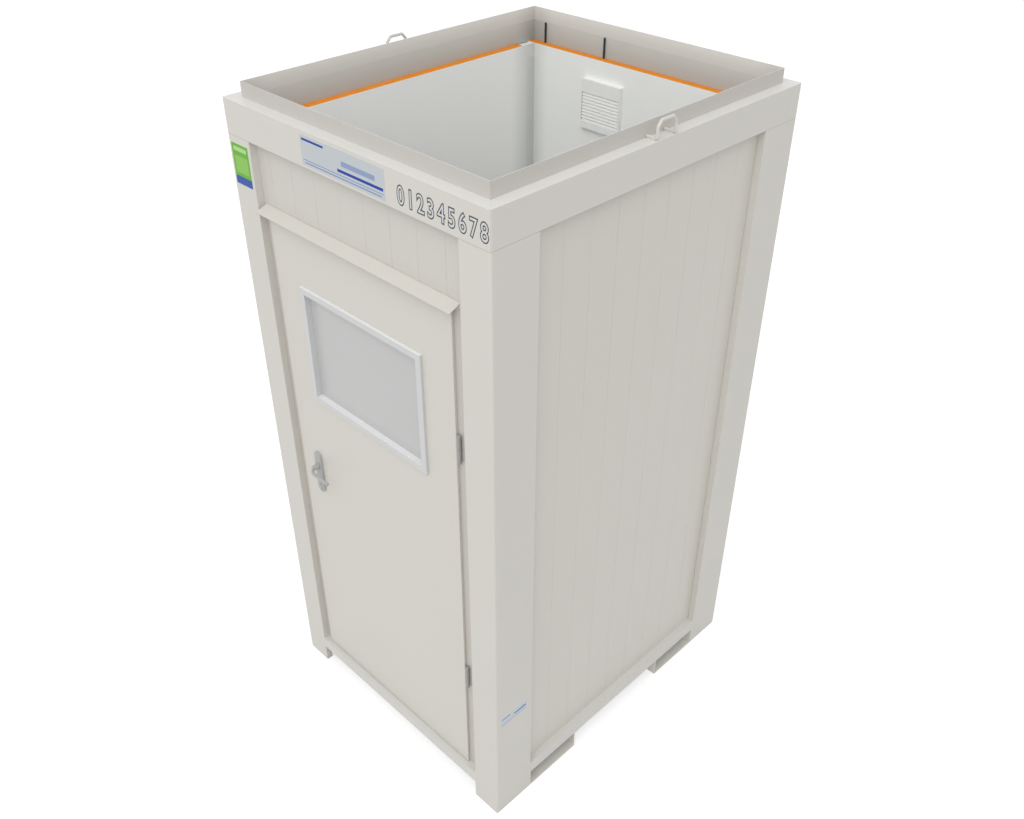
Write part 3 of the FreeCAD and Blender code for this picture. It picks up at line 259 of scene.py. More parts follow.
def push_ring(mesh, ring, move):
    """Extrudes a closed ring of edges and moves the new ring."""
    grown = bmesh.ops.extrude_edge_only(mesh, edges=ring)["geom"]
    fresh = {part for part in grown if isinstance(part, bmesh.types.BMVert)}
    bmesh.ops.transform(mesh, matrix=move, verts=list(fresh))
    edges = [part for part in grown if isinstance(part, bmesh.types.BMEdge)]
    return [edge for edge in edges if fresh.issuperset(edge.verts)]


def edges_at(verts):
    """The edges at some verts, each once and in the same order on each run."""
    return list(dict.fromkeys(edge for vert in verts for edge in vert.link_edges))


def round_bar(mesh, path, radius, bend, sides=20, end_round=0.0, steps=6):
    """Adds a round bar bent from straight lengths: path is its corners, bend its middle line's radius."""
    path = [Vector(stop) for stop in path]
    way = (path[1] - path[0]).normalized()
    here = path[0]
    turned = Matrix.Translation(here) @ way.to_track_quat("Z", "Y").to_matrix().to_4x4()
    made = bmesh.ops.create_circle(mesh, cap_ends=True, segments=sides, radius=radius, matrix=turned)
    first = edges_at(made["verts"])
    ring = first
    for corner, after in zip(path[1:], path[2:] + [None]):
        if after is None:
            ring = push_ring(mesh, ring, Matrix.Translation(corner - here))
            break
        next_way = (after - corner).normalized()
        angle = way.angle(next_way)
        start = corner - way * bend * math.tan(angle / 2)
        ring = push_ring(mesh, ring, Matrix.Translation(start - here))
        centre = start + (next_way - way * way.dot(next_way)).normalized() * bend
        turn = Matrix.Rotation(angle / steps, 4, way.cross(next_way))
        step = Matrix.Translation(centre) @ turn @ Matrix.Translation(-centre)
        for _ in range(steps):
            ring = push_ring(mesh, ring, step)
        here = corner + next_way * bend * math.tan(angle / 2)
        way = next_way
    bmesh.ops.contextual_create(mesh, geom=ring)
    if end_round:
        round_edges(mesh, first + ring, end_round)


def finish_piece(mesh, name, material, body, sharp=35):
    """Makes an object of a mesh, smooth but for its sharp edges, that moves with a body."""
    bmesh.ops.recalc_face_normals(mesh, faces=mesh.faces)
    data = bpy.data.meshes.new(name)
    mesh.to_mesh(data)
    mesh.free()
    data.materials.append(material)
    data.shade_smooth()
    data.set_sharp_from_angle(angle=math.radians(sharp))
    made = bpy.data.objects.new(name, data)
    scene.collection.objects.link(made)
    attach(made, body)
    return made


EYE_BAR = 0.005
EYE_BEND = 0.0056
EYE_SHOULDER = 0.033
EYE_TOP_HALF = 0.026
EYE_GAP = 0.0005
WELD_BEAD = 0.0016
WELD_SHORT = 0.004
WELD_SPREAD = 0.8
WELD_ROUND = 0.001
WELD_SIDES = 10
eye_low, eye_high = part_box("lifting_eyes")
eye_middle = (eye_low.y + eye_high.y) / 2
eye_half = (eye_high.y - eye_low.y) / 2 - EYE_BAR
eye_leg = eye_high.x - EYE_BAR
eye_foot = collar_high.x + EYE_GAP
eye_base = eye_low.z + EYE_BAR
eye_top = eye_high.z - EYE_BAR
eyes = bmesh.new()
beads = bmesh.new()
for side in (-1, 1):
    half_path = [
        (side * eye_foot, -eye_half, eye_base),
        (side * eye_leg, -eye_half, eye_base),
        (side * eye_leg, -eye_half, eye_base + EYE_SHOULDER),
        (side * eye_leg, -EYE_TOP_HALF, eye_top),
    ]
    other_half = [(x, -y, z) for x, y, z in reversed(half_path)]
    whole_path = [(x, eye_middle + y, z) for x, y, z in half_path + other_half]
    round_bar(eyes, whole_path, EYE_BAR, EYE_BEND)
    for foot_y in (-eye_half, eye_half):
        for edge_y in (-EYE_BAR, EYE_BAR):
            line_y = eye_middle + foot_y + edge_y * WELD_SPREAD
            line_z = eye_low.z + WELD_BEAD / 3
            start = (side * (eye_foot + WELD_SHORT), line_y, line_z)
            end = (side * (eye_leg - WELD_SHORT), line_y, line_z)
            round_bar(beads, [start, end], WELD_BEAD, 0, WELD_SIDES, WELD_ROUND)
lifting_eyes = finish_piece(eyes, "bent_lifting_eyes", frame_paint, "cabin", 50)
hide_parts("lifting_eyes")
finish_piece(beads, "lifting_eye_welds", frame_paint, "cabin", 50)


# Wall panels: coil-coated steel sheet on both faces of orange polyurethane foam, cut square at the top. The
# outer sheets are rolled with faint upright lines a few millimetres apart; the inner ones are plain and
# paler, with painted shade darkening them in the cabin's corners.

# Lines per metre across the rolled outer sheets and the plain inner ones.
ROLLED_LINES = 160.0
LINING_LINES = 60.0
LINE_SHARE = 0.3
LINE_DEPTH = 0.00012
SHEET_TONES_PER_METRE = 1.7
SHEET_FOLD = 0.0012
CELLS_PER_METRE = 700.0
CELL_DEPTH = 0.0008
FOAM_EDGE = 0.0005
FOAM_PATCHES_PER_METRE = 40.0
LINING_ROUGH = 0.42
# How far the painted shade reaches from the corners on the side and end linings.
SIDE_PAINTED_SHADE = 0.14
END_PAINTED_SHADE = 0.08


def coated_sheet(name, low, high, along, rough=0.38):
    """Coil-coated sheet: along gives the rolled lines' count per metre on each axis."""
    made, tree, shader, place = new_material(name, rough)
    stretched = add_node(tree, "Mapping", Vector=place, Scale=along).outputs["Vector"]
    lines = add_node(tree, "TexNoise", Vector=stretched, Scale=1.0, Detail=3.0).outputs["Fac"]
    clouds = add_node(tree, "TexNoise", Vector=place, Scale=SHEET_TONES_PER_METRE, Detail=3.0).outputs["Fac"]
    share = add_node(tree, "Math", {"operation": "MULTIPLY"}, _0=lines, _1=LINE_SHARE).outputs[0]
    total = add_node(tree, "Math", {"operation": "MULTIPLY_ADD"}, _0=clouds, _1=1 - LINE_SHARE, _2=share)
    colour_by(tree, shader, total.outputs[0], low, high)
    raise_by(tree, shader, lines, LINE_DEPTH, SHEET_FOLD)
    return made


def cut_foam(name):
    """Cut polyurethane foam: open cells of about 1.5 mm in orange, with no gloss."""
    made, tree, shader, place = new_material(name, 0.9)
    cells = add_node(tree, "TexVoronoi", Vector=place, Scale=CELLS_PER_METRE).outputs["Distance"]
    patches = add_node(tree, "TexNoise", Vector=place, Scale=FOAM_PATCHES_PER_METRE).outputs["Fac"]
    colour_by(tree, shader, patches, "ED890C", "F4981A")
    raise_by(tree, shader, cells, CELL_DEPTH, FOAM_EDGE)
    return made


side_sheet = coated_sheet("rolled_side_sheet", "D2CFC7", "D7D4CC", (1.0, ROLLED_LINES, 0.6))
end_sheet = coated_sheet("rolled_end_sheet", "CDCAC3", "D2CFC8", (ROLLED_LINES, 1.0, 0.6))
lining_side = coated_sheet("lining_side_sheet", "F6F7F5", "F9FAF8", (1.0, LINING_LINES, 0.5), LINING_ROUGH)
lining_end = coated_sheet("lining_end_sheet", "F3F5F2", "F6F7F5", (LINING_LINES, 1.0, 0.5), LINING_ROUGH)
# The corner strips are a little darker than the linings, as painted shade in the corners.
lining_strip = coated_sheet(
    "lining_corner_strip", "ECEEEB", "F0F2EF", (LINING_LINES, LINING_LINES, 0.5), LINING_ROUGH
)
cover_low, cover_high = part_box("corner_covers")
LINING_CORNER = cover_high.x + cover_high.y - CABIN_MIDDLE[1]
# Painted shade: the linings and corner strips darken towards the cabin's inside corners.
for lining, reach, tint in (
    (lining_side, SIDE_PAINTED_SHADE, "DDDDDC"),
    (lining_strip, SIDE_PAINTED_SHADE, "DDDDDC"),
    (lining_end, END_PAINTED_SHADE, "EDEDEC"),
):
    paint_shade_on_faces(lining, 1, (1, 1, 0), LINING_CORNER - reach, LINING_CORNER, tint)
dress_nodes(side_sheet, "left_wall_outer_skin", "right_wall_outer_skin")
dress_nodes(end_sheet, "rear_wall_outer_skin", "header_outer_skin")
dress_nodes(lining_side, "left_wall_inner_skin", "right_wall_inner_skin")
dress_nodes(lining_strip, "corner_covers")
dress_nodes(lining_end, "rear_wall_inner_skin", "header_inner_skin")
dress_nodes(
    cut_foam("cut_polyurethane_foam"),
    "left_wall_core", "right_wall_core", "rear_wall_core", "header_core", "door_core", "floor_core",
)


# Corner fittings: blind rivets of 8 mm hold the strips in the four inside corners, and a small plate of the
# same coated sheet closes the gap between each side panel's foam and the end lining, just under the edge.

def block(mesh, low, high, soft=0.0, segments=2, turn=None):
    """Adds a box between two corners, its edges rounded by soft, turned about its middle if asked."""
    low, high = Vector(low), Vector(high)
    place = Matrix.Translation((low + high) / 2)
    if turn:
        place = place @ turn
    place = place @ Matrix.Diagonal((*(high - low), 1))
    made = bmesh.ops.create_cube(mesh, size=1, matrix=place)
    if soft:
        edges = edges_at(made["verts"])
        round_edges(mesh, edges, soft, segments)


def drum(mesh, centre, way, radius, long, soft=0.0, sides=32, far_radius=None):
    """Adds a round bar or cone that starts at a point and runs along a way, its rims rounded by soft."""
    way = Vector(way).normalized()
    middle = Vector(centre) + way * long / 2
    place = Matrix.Translation(middle) @ way.to_track_quat("Z", "Y").to_matrix().to_4x4()
    made = bmesh.ops.create_cone(
        mesh, cap_ends=True, segments=sides, radius1=radius,
        radius2=radius if far_radius is None else far_radius, depth=long, matrix=place,
    )
    if soft:
        faces = [face for vert in made["verts"] for face in vert.link_faces if len(face.verts) > 4]
        rims = list(dict.fromkeys(edge for face in faces for edge in face.edges))
        round_edges(mesh, rims, soft)


RIVET_RADIUS = 0.004
RIVET_HIGH = 0.0014
RIVET_ROUND = 0.0006
RIVET_PITCH = 0.29
RIVET_FIRST = 0.06
COVER_HALF = 0.020
SMALL_SIDES = 16
rivets = bmesh.new()
rivet_rows = int((cover_high.z - cover_low.z) // RIVET_PITCH) + 1
for side in (-1, 1):
    for line_y in (cover_low.y + COVER_HALF, cover_high.y - COVER_HALF):
        for row in range(rivet_rows):
            spot = (side * cover_high.x, line_y, cover_low.z + RIVET_FIRST + row * RIVET_PITCH)
            drum(rivets, spot, (-side, 0, 0), RIVET_RADIUS, RIVET_HIGH, RIVET_ROUND, SMALL_SIDES)
finish_piece(rivets, "cover_rivets", lining_strip, "cabin")
CLOSER_SHEET = 0.0015
CLOSER_DROP = 0.004
CLOSER_GAP = 0.0005
CLOSER_ROUND = 0.0004
core_low, core_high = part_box("right_wall_core")
closer_top = core_high.z - CLOSER_DROP
closers = bmesh.new()
for side in (-1, 1):
    start_x, end_x = sorted((side * (core_low.x + CLOSER_GAP), side * (core_high.x - CLOSER_GAP)))
    for start_y, end_y in ((cover_low.y, core_low.y), (core_high.y, cover_high.y)):
        block(
            closers,
            (start_x, start_y + CLOSER_GAP, closer_top - CLOSER_SHEET),
            (end_x, end_y - CLOSER_GAP, closer_top),
            CLOSER_ROUND, 1,
        )
finish_piece(closers, "corner_closers", lining_side, "cabin")


# Floor: zinc-coated sheet under the foam, and a coated board on top with a glued safety covering, grey vinyl
# with darker and lighter flecks of 2 to 3 mm.

FLECKS_PER_METRE = 380.0
GRIP_PER_METRE = 900.0
GRIP_DEPTH = 0.0002
FLOOR_EDGE = 0.001
METAL_EDGE = 0.0006
DRAWN_DEPTH = 0.00004


def flecked_vinyl(name):
    """Safety vinyl: matt grey with flecks, and a fine grip in the surface."""
    made, tree, shader, place = new_material(name, 0.6)
    flecks = add_node(tree, "TexVoronoi", Vector=place, Scale=FLECKS_PER_METRE)
    shade = add_node(tree, "SeparateXYZ", Vector=flecks.outputs["Color"]).outputs["X"]
    colour_by(tree, shader, shade, "BFC3C5", "D9DCDD")
    grip = add_node(tree, "TexNoise", Vector=place, Scale=GRIP_PER_METRE).outputs["Fac"]
    raise_by(tree, shader, grip, GRIP_DEPTH, FLOOR_EDGE)
    return made


def drawn_metal(name, low, high, rough, along):
    """Bare metal with fine lines along the way it was drawn, rolled or brushed."""
    made, tree, shader, place = new_material(name, rough, 1.0)
    stretched = add_node(tree, "Mapping", Vector=place, Scale=along).outputs["Vector"]
    lines = add_node(tree, "TexNoise", Vector=stretched, Scale=1.0, Detail=3.0).outputs["Fac"]
    vary_gloss(tree, shader, lines, rough)
    colour_by(tree, shader, lines, low, high)
    raise_by(tree, shader, lines, DRAWN_DEPTH, METAL_EDGE)
    return made


COVERING_THICK = 0.002
COVERING_GAP = 0.002
COVERING_ROUND = 0.0006
FLAKES_PER_METRE = 180.0
FLAKE_DEPTH = 0.0003
board_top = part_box("floor_board")[1].z
zinc_sheet = drawn_metal("zinc_coated_sheet", "A9ADAF", "BCC0C1", 0.42, (3.0, 60.0, 3.0))
dress_nodes(zinc_sheet, "floor_sheet", "lock_case")
made, tree, shader, place = new_material("coated_floor_board", 0.7)
grain = add_node(tree, "TexVoronoi", Vector=place, Scale=FLAKES_PER_METRE)
flake = add_node(tree, "SeparateXYZ", Vector=grain.outputs["Color"]).outputs["X"]
colour_by(tree, shader, flake, "9C7C52", "CDB084")
raise_by(tree, shader, flake, FLAKE_DEPTH, FLOOR_EDGE)
dress_nodes(made, "floor_board")
vinyl = flecked_vinyl("flecked_safety_vinyl")
covering = bmesh.new()
lining_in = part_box("corner_covers")[0].x + COVERING_GAP
floor_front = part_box("header_inner_skin")[1].y + COVERING_GAP
floor_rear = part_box("rear_wall_inner_skin")[0].y - COVERING_GAP
block(
    covering,
    (lining_in, floor_front, board_top),
    (-lining_in, floor_rear, board_top + COVERING_THICK),
    COVERING_ROUND,
)
finish_piece(covering, "floor_covering", vinyl, "cabin")


# Door frame: folded jambs and head in the frame's paint, darkened as painted shade for their recess, a
# raised aluminium sill, and a folded drip rail over the door. The strike plate on the left jamb is 1 mm
# sheet with holes for both bolts.

# Faces are taken as one flat face within this angle in radians.
FLAT_WITHIN = 0.01
# A sheet's parts are sorted along this way, on which no two of them lie level.
ORDER_WAY = Vector((1.0, 7.0, 53.0))


def thicken(mesh, faces, push):
    """Gives flat faces a thickness along push and returns what is new; the first faces stay."""
    grown = bmesh.ops.extrude_face_region(mesh, geom=faces, use_keep_orig=True)["geom"]
    fresh = [part for part in grown if isinstance(part, bmesh.types.BMVert)]
    bmesh.ops.translate(mesh, verts=fresh, vec=push)
    return grown


def split_along(sheet, axis, value):
    """Splits a flat sheet's faces along the plane where an axis has a value."""
    normal = Vector((0, 0, 0))
    normal[axis] = 1
    parts = sheet.verts[:] + sheet.edges[:] + sheet.faces[:]
    bmesh.ops.bisect_plane(sheet, geom=parts, plane_co=normal * value, plane_no=normal)


def place_order(part):
    """How far along the order's way a vert, an edge or a face lies, so that each run sorts alike."""
    verts = getattr(part, "verts", (part,))
    return sum(vert.co.dot(ORDER_WAY) for vert in verts) / len(verts)


def holed_sheet(mesh, low, high, holes, thick, face_way):
    """Adds a flat sheet with rectangular holes between two corners; face_way is the axis across it."""
    low, high = Vector(low), Vector(high)
    across = 1 if face_way == 0 else 0
    sheet = bmesh.new()
    corners = []
    for a, z in ((low[across], low.z), (high[across], low.z), (high[across], high.z), (low[across], high.z)):
        spot = low.copy()
        spot[across] = a
        spot.z = z
        corners.append(sheet.verts.new(spot))
    bmesh.ops.contextual_create(sheet, geom=corners)
    cuts = set()
    for left, bottom, right, top in holes:
        cuts.update({(across, left), (across, right), (2, bottom), (2, top)})
    for axis, value in sorted(cuts):
        split_along(sheet, axis, value)
    gone = []
    for face in sheet.faces:
        middle = face.calc_center_median()
        for left, bottom, right, top in holes:
            if left < middle[across] < right and bottom < middle.z < top:
                gone.append(face)
                break
    bmesh.ops.delete(sheet, geom=gone, context="FACES")
    push = Vector((0, 0, 0))
    push[face_way] = thick
    thicken(sheet, sheet.faces[:], push)
    for parts in (sheet.verts, sheet.edges, sheet.faces):
        parts.sort(key=place_order)
    bmesh.ops.recalc_face_normals(sheet, faces=sheet.faces)
    bmesh.ops.dissolve_limit(sheet, angle_limit=FLAT_WITHIN, verts=sheet.verts, edges=sheet.edges)
    data = bpy.data.meshes.new("sheet")
    sheet.to_mesh(data)
    sheet.free()
    mesh.from_mesh(data)
    bpy.data.meshes.remove(data)


# The jambs and head are painted darker than the frame, as painted shade in the door's recess.
jamb_paint = sprayed_paint("satin_jamb_paint", "C6C2BA", "CAC6BE")
dress_nodes(jamb_paint, "door_jamb_left", "door_jamb_right", "door_head")
dress_nodes(frame_paint, "drip_rail")
dress_nodes(drawn_metal("rolled_aluminium_sill", "B9B8B4", "CBCAC6", 0.35, (3.0, 90.0, 90.0)), "threshold")
STRIKE_THICK = 0.001
STRIKE_WIDE = 0.020
STRIKE_PLAY = 0.0015
jamb_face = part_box("door_jamb_left")[1].x
latch_low, latch_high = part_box("latch_bolt")
bolt_low, bolt_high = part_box("dead_bolt")
strike_middle = (latch_low.y + latch_high.y) / 2
strike_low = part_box("lock_case")[0].z
strike_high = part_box("lock_case")[1].z
lock_steel = drawn_metal("zinc_plated_lock_steel", "A6A8AA", "B9BBBD", 0.36, (40.0, 40.0, 400.0))
strike = bmesh.new()
holed_sheet(
    strike,
    (jamb_face, strike_middle - STRIKE_WIDE / 2, strike_low),
    (jamb_face, strike_middle + STRIKE_WIDE / 2, strike_high),
    [
        (low.y - STRIKE_PLAY, low.z - STRIKE_PLAY, high.y + STRIKE_PLAY, high.z + STRIKE_PLAY)
        for low, high in ((latch_low, latch_high), (bolt_low, bolt_high))
    ],
    STRIKE_THICK, 0,
)
strike_plate = finish_piece(strike, "strike_plate", lock_steel, "cabin")


# Door leaf: a rebated outer tray and an inner tray folded from sheet over an insulated core, in smooth satin
# paint. A light grey rubber seal lines the rebate all round, level with the leaf's edge.

MOULDED_EDGE = 0.0008
MOULDED_PATCHES_PER_METRE = 6.0


def moulded(name, low, high, rough=0.35, grain=900.0, depth=0.00004, **values):
    """Moulded plastic, rubber or glaze: nearly one colour, with a fine even grain."""
    made, tree, shader, place = new_material(name, rough, **values)
    patches = add_node(tree, "TexNoise", Vector=place, Scale=MOULDED_PATCHES_PER_METRE).outputs["Fac"]
    pits = add_node(tree, "TexNoise", Vector=place, Scale=grain, Detail=2.0).outputs["Fac"]
    colour_by(tree, shader, patches, low, high)
    raise_by(tree, shader, pits, depth, MOULDED_EDGE)
    return made


def box_ring(mesh, low, high, wide, front, back, soft):
    """Adds a closed rectangular ring between two planes across Y; low and high are its outer corners."""
    for start, end in (
        ((low.x, low.z), (low.x + wide, high.z)),
        ((high.x - wide, low.z), (high.x, high.z)),
        ((low.x + wide, low.z), (high.x - wide, low.z + wide)),
        ((low.x + wide, high.z - wide), (high.x - wide, high.z)),
    ):
        block(mesh, (start[0], front, start[1]), (end[0], back, end[1]), soft)


DOOR_ROUGH = 0.38
DOOR_FOLD = 0.0035
door_paint = sprayed_paint("satin_door_paint", "D3D0C8", "D7D4CC", DOOR_ROUGH, DOOR_FOLD)
dress_nodes(door_paint, "door_outer_skin", "door_inner_skin")
SEAL_IN = 0.0003
SEAL_WIDE = 0.009
SEAL_FREE = 0.0003
SEAL_ROUND = 0.0008
leaf_low, leaf_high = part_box("door_outer_skin")
wall_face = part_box("door_jamb_left")[0].y
flange_back = leaf_high.y
seal = bmesh.new()
box_ring(
    seal,
    leaf_low + Vector((SEAL_IN, 0, SEAL_IN)), leaf_high - Vector((SEAL_IN, 0, SEAL_IN)),
    SEAL_WIDE, flange_back, wall_face - SEAL_FREE, SEAL_ROUND,
)
seal_rubber = moulded("light_grey_rubber", "DDDAD5", "E2DFDA", 0.6)
finish_piece(seal, "door_seal", seal_rubber, "door")


# Window: two white clamping frames of moulded plastic, screwed together through the leaf, hold a frosted
# pane; their upper faces are painted paler as a painted highlight. The pane is obscured safety glass with a
# pale backing, rolled in soft dimples of 4 mm.

GLASS_DIMPLES_PER_METRE = 260.0
GLASS_DIMPLE_DEPTH = 0.0003
GLASS_EDGE = 0.0005
GLASS_PATCHES_PER_METRE = 3.0
window_plastic = moulded("white_window_plastic", "CDCECE", "D2D3D3", 0.3)
# Painted highlight: the window frames' upward faces are painted paler.
paint_lit_tops(window_plastic, "EAEBEB")
dress_nodes(window_plastic, "window_frames")
made, tree, shader, place = new_material("frosted_safety_glass", 0.3, IOR=1.5)
dimples = add_node(
    tree, "TexVoronoi", {"feature": "SMOOTH_F1"}, Vector=place, Scale=GLASS_DIMPLES_PER_METRE
).outputs["Distance"]
patches = add_node(tree, "TexNoise", Vector=place, Scale=GLASS_PATCHES_PER_METRE).outputs["Fac"]
colour_by(tree, shader, patches, "C0C0C0", "C5C5C4")
raise_by(tree, shader, dimples, GLASS_DIMPLE_DEPTH, GLASS_EDGE)
dress_nodes(made, "window_pane")


# Hinges: two lift-off hinges with turned barrels, the lower half welded to the frame, the upper to the
# leaf's edge. Steel in a grey zinc-dust paint, a little darker than the handles.

hinge_paint = sprayed_paint("zinc_dust_hinge_paint", "9E9E9D", "A6A6A5", 0.5, METAL_EDGE)
HINGE_RADIUS = 0.007
HINGE_HALF = 0.052
HINGE_SPLIT = 0.0005
HINGE_PIN = 0.004
HINGE_FOOT = 0.006
HINGE_SHEET = 0.003
BARREL_ROUND = 0.0008
PIN_ROUND = 0.0005
STRAP_ROUND = 0.0006
frame_low, frame_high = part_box("hinge_frame_halves")
upper_low, upper_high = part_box("hinge_leaf_halves")
hinge_x = frame_high.x - HINGE_RADIUS
hinge_y = frame_low.y + HINGE_RADIUS
leaf_edge = upper_low.x
lower_halves = bmesh.new()
upper_halves = bmesh.new()
arm_high = HINGE_HALF - 2 * HINGE_FOOT
pin_long = HINGE_HALF - HINGE_FOOT
top_long = HINGE_HALF - HINGE_SPLIT
for middle in (frame_low.z + HINGE_HALF, upper_high.z - HINGE_HALF):
    bottom = middle - HINGE_HALF
    drum(lower_halves, (hinge_x, hinge_y, bottom), (0, 0, 1), HINGE_RADIUS, HINGE_HALF, BARREL_ROUND)
    drum(lower_halves, (hinge_x, hinge_y, middle), (0, 0, 1), HINGE_PIN, pin_long, PIN_ROUND)
    block(
        lower_halves,
        (hinge_x - HINGE_SHEET / 2, hinge_y, bottom + HINGE_FOOT),
        (hinge_x + HINGE_SHEET / 2, frame_high.y, bottom + HINGE_FOOT + arm_high),
        STRAP_ROUND,
    )
    top_start = middle + HINGE_SPLIT
    drum(upper_halves, (hinge_x, hinge_y, top_start), (0, 0, 1), HINGE_RADIUS, top_long, BARREL_ROUND)
    block(
        upper_halves,
        (leaf_edge, hinge_y, middle + HINGE_FOOT),
        (hinge_x, hinge_y + HINGE_SHEET, middle + HINGE_FOOT + arm_high),
        STRAP_ROUND,
    )
lower_hinges = finish_piece(lower_halves, "turned_hinge_frame_halves", hinge_paint, "cabin")
upper_hinges = finish_piece(upper_halves, "turned_hinge_leaf_halves", hinge_paint, "door")
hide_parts("hinge_frame_halves")
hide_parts("hinge_leaf_halves")
dress_nodes(lock_steel, "latch_bolt", "dead_bolt")


# Handles: long aluminium plates with round ends, screwed through the leaf, and levers bent from round bar
# with a tapered neck, all in a satin silver powder coat. The plates' edges are rounded by about 2 mm.

ROUND_SIDES = 48
# Points on a circle's middle line count as its upper half, within this much.
HAIR = 0.000001


def stadium(mesh, x, z, wide, high, start_y, thick, soft):
    """Adds an upright plate with round ends, its outer rim rounded; thick is signed along Y."""
    turned = Matrix.Translation((x, start_y, z)) @ Matrix.Rotation(math.pi / 2, 4, "X")
    made = bmesh.ops.create_circle(mesh, cap_ends=True, segments=ROUND_SIDES, radius=wide / 2, matrix=turned)
    lift = (high - wide) / 2
    for vert in made["verts"]:
        vert.co.z += lift if vert.co.z > z - HAIR else -lift
    base = [face for face in made["verts"][0].link_faces if len(face.verts) == ROUND_SIDES]
    grown = thicken(mesh, base, (0, thick, 0))
    fresh = {part for part in grown if isinstance(part, bmesh.types.BMVert)}
    edges = [part for part in grown if isinstance(part, bmesh.types.BMEdge)]
    round_edges(mesh, [edge for edge in edges if fresh.issuperset(edge.verts)], soft)


PLATE_ROUND = 0.0022
COAT_ROUGH = 0.4
plate_coat = sprayed_paint("silver_plate_coat", "AAABA9", "B0B1AF", COAT_ROUGH, METAL_EDGE)
lever_coat = sprayed_paint("silver_lever_coat", "ABACAB", "B1B2B1", COAT_ROUGH, METAL_EDGE)
PLATE_THICK = 0.009
SCREW_RADIUS = 0.0038
SCREW_IN = 0.014
SCREW_HEAD = 0.0007
SCREW_ROUND = 0.0003
SCREW_SIDES = 20
SLOT_HALF_LONG = 0.0026
SLOT_HALF_WIDE = 0.0004
SLOT_PROUD = 0.0002
LEVER_BAR = 0.006
LEVER_BEND = 0.034
LEVER_SIDES = 24
LEVER_ROUND = 0.002
LEVER_STEPS = 10
LEVER_IN = 0.001
NECK_WIDE = 0.0125
NECK_NARROW = 0.0090
NECK_LONG = 0.024
NECK_GAP = 0.0005
NECK_ROUND = 0.0006
plates_low, plates_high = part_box("handle_plates")
lever_low, lever_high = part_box("lever_outer")
plate_x = (plates_low.x + plates_high.x) / 2
plate_z = (plates_low.z + plates_high.z) / 2
plate_wide = plates_high.x - plates_low.x
plate_high = plates_high.z - plates_low.z
lever_z = (lever_low.z + lever_high.z) / 2
lever_end = lever_high.x
leaf_middle = (plates_low.y + plates_high.y) / 2
face_out = (plates_high.y - plates_low.y) / 2 - PLATE_THICK
lever_out = leaf_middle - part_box("lever_outer")[0].y - LEVER_BAR
plates = bmesh.new()
screws = bmesh.new()
for side, name in ((-1, "outer"), (1, "inner")):
    face_y = leaf_middle + side * face_out
    plate_face = face_y + side * PLATE_THICK
    stadium(plates, plate_x, plate_z, plate_wide, plate_high, face_y, side * PLATE_THICK, PLATE_ROUND)
    for screw_z in (plates_low.z + SCREW_IN, plates_high.z - SCREW_IN):
        spot = (plate_x, plate_face, screw_z)
        drum(screws, spot, (0, side, 0), SCREW_RADIUS, SCREW_HEAD, SCREW_ROUND, SCREW_SIDES)
        rib_low, rib_high = sorted((plate_face, plate_face + side * (SCREW_HEAD + SLOT_PROUD)))
        block(
            screws,
            (plate_x - SLOT_HALF_LONG, rib_low, screw_z - SLOT_HALF_WIDE),
            (plate_x + SLOT_HALF_LONG, rib_high, screw_z + SLOT_HALF_WIDE),
        )
    bar = bmesh.new()
    grip_y = leaf_middle + side * lever_out
    lever_root = face_y + side * LEVER_IN
    lever_path = [(plate_x, lever_root, lever_z), (plate_x, grip_y, lever_z), (lever_end, grip_y, lever_z)]
    round_bar(bar, lever_path, LEVER_BAR, LEVER_BEND, LEVER_SIDES, LEVER_ROUND, LEVER_STEPS)
    neck_root = (plate_x, plate_face + side * NECK_GAP, lever_z)
    drum(bar, neck_root, (0, side, 0), NECK_WIDE, NECK_LONG, NECK_ROUND, far_radius=NECK_NARROW)
    finish_piece(bar, f"bent_lever_{name}", lever_coat, "levers", 40)
    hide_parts(f"lever_{name}")
handle_plates = finish_piece(plates, "rounded_handle_plates", plate_coat, "door")
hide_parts("handle_plates")
finish_piece(screws, "handle_screws", lock_steel, "door")
dress_nodes(plate_coat, "thumb_turn")
nickel = drawn_metal("satin_nickel_plate", "A6A6A4", "B7B7B5", 0.45, (300.0, 30.0, 300.0))
dress_nodes(nickel, "lock_cylinder")


# Ventilation: a pressed steel cover of level blades on each side of the rear wall, painted white inside and
# with the frame's paint outside, and a zinc-coated sleeve through the foam between them.

def blade_row(mesh, left, right, low, middle_y, side):
    """Adds level sloping blades between two sides, each lapping the next one; side is the way they face."""
    half = Vector(((right - left) / 2, BLADE_THICK / 2, BLADE_PITCH * BLADE_LAP / 2))
    turn = Matrix.Rotation(side * BLADE_SLOPE, 4, "X")
    for row in range(BLADES):
        middle = Vector(((left + right) / 2, middle_y, low + (row + 0.5) * BLADE_PITCH))
        block(mesh, middle - half, middle + half, BLADE_ROUND, 1, turn)


BLADE_THICK = 0.0016
BLADE_SLOPE = math.radians(22)
BLADE_SINK = 0.0033
BLADE_PITCH = 0.0123
BLADE_ROUND = 0.0004
BLADE_LAP = 1.06
BLADES = 9
COVER_SHEET = 0.0012
COVER_EDGE = 0.004
COVER_TOP = 0.050
VENT_EDGE = 0.0008
vent_paint = sprayed_paint("vent_cover_paint", "EEEFED", "F2F3F1", COAT_ROUGH, VENT_EDGE)


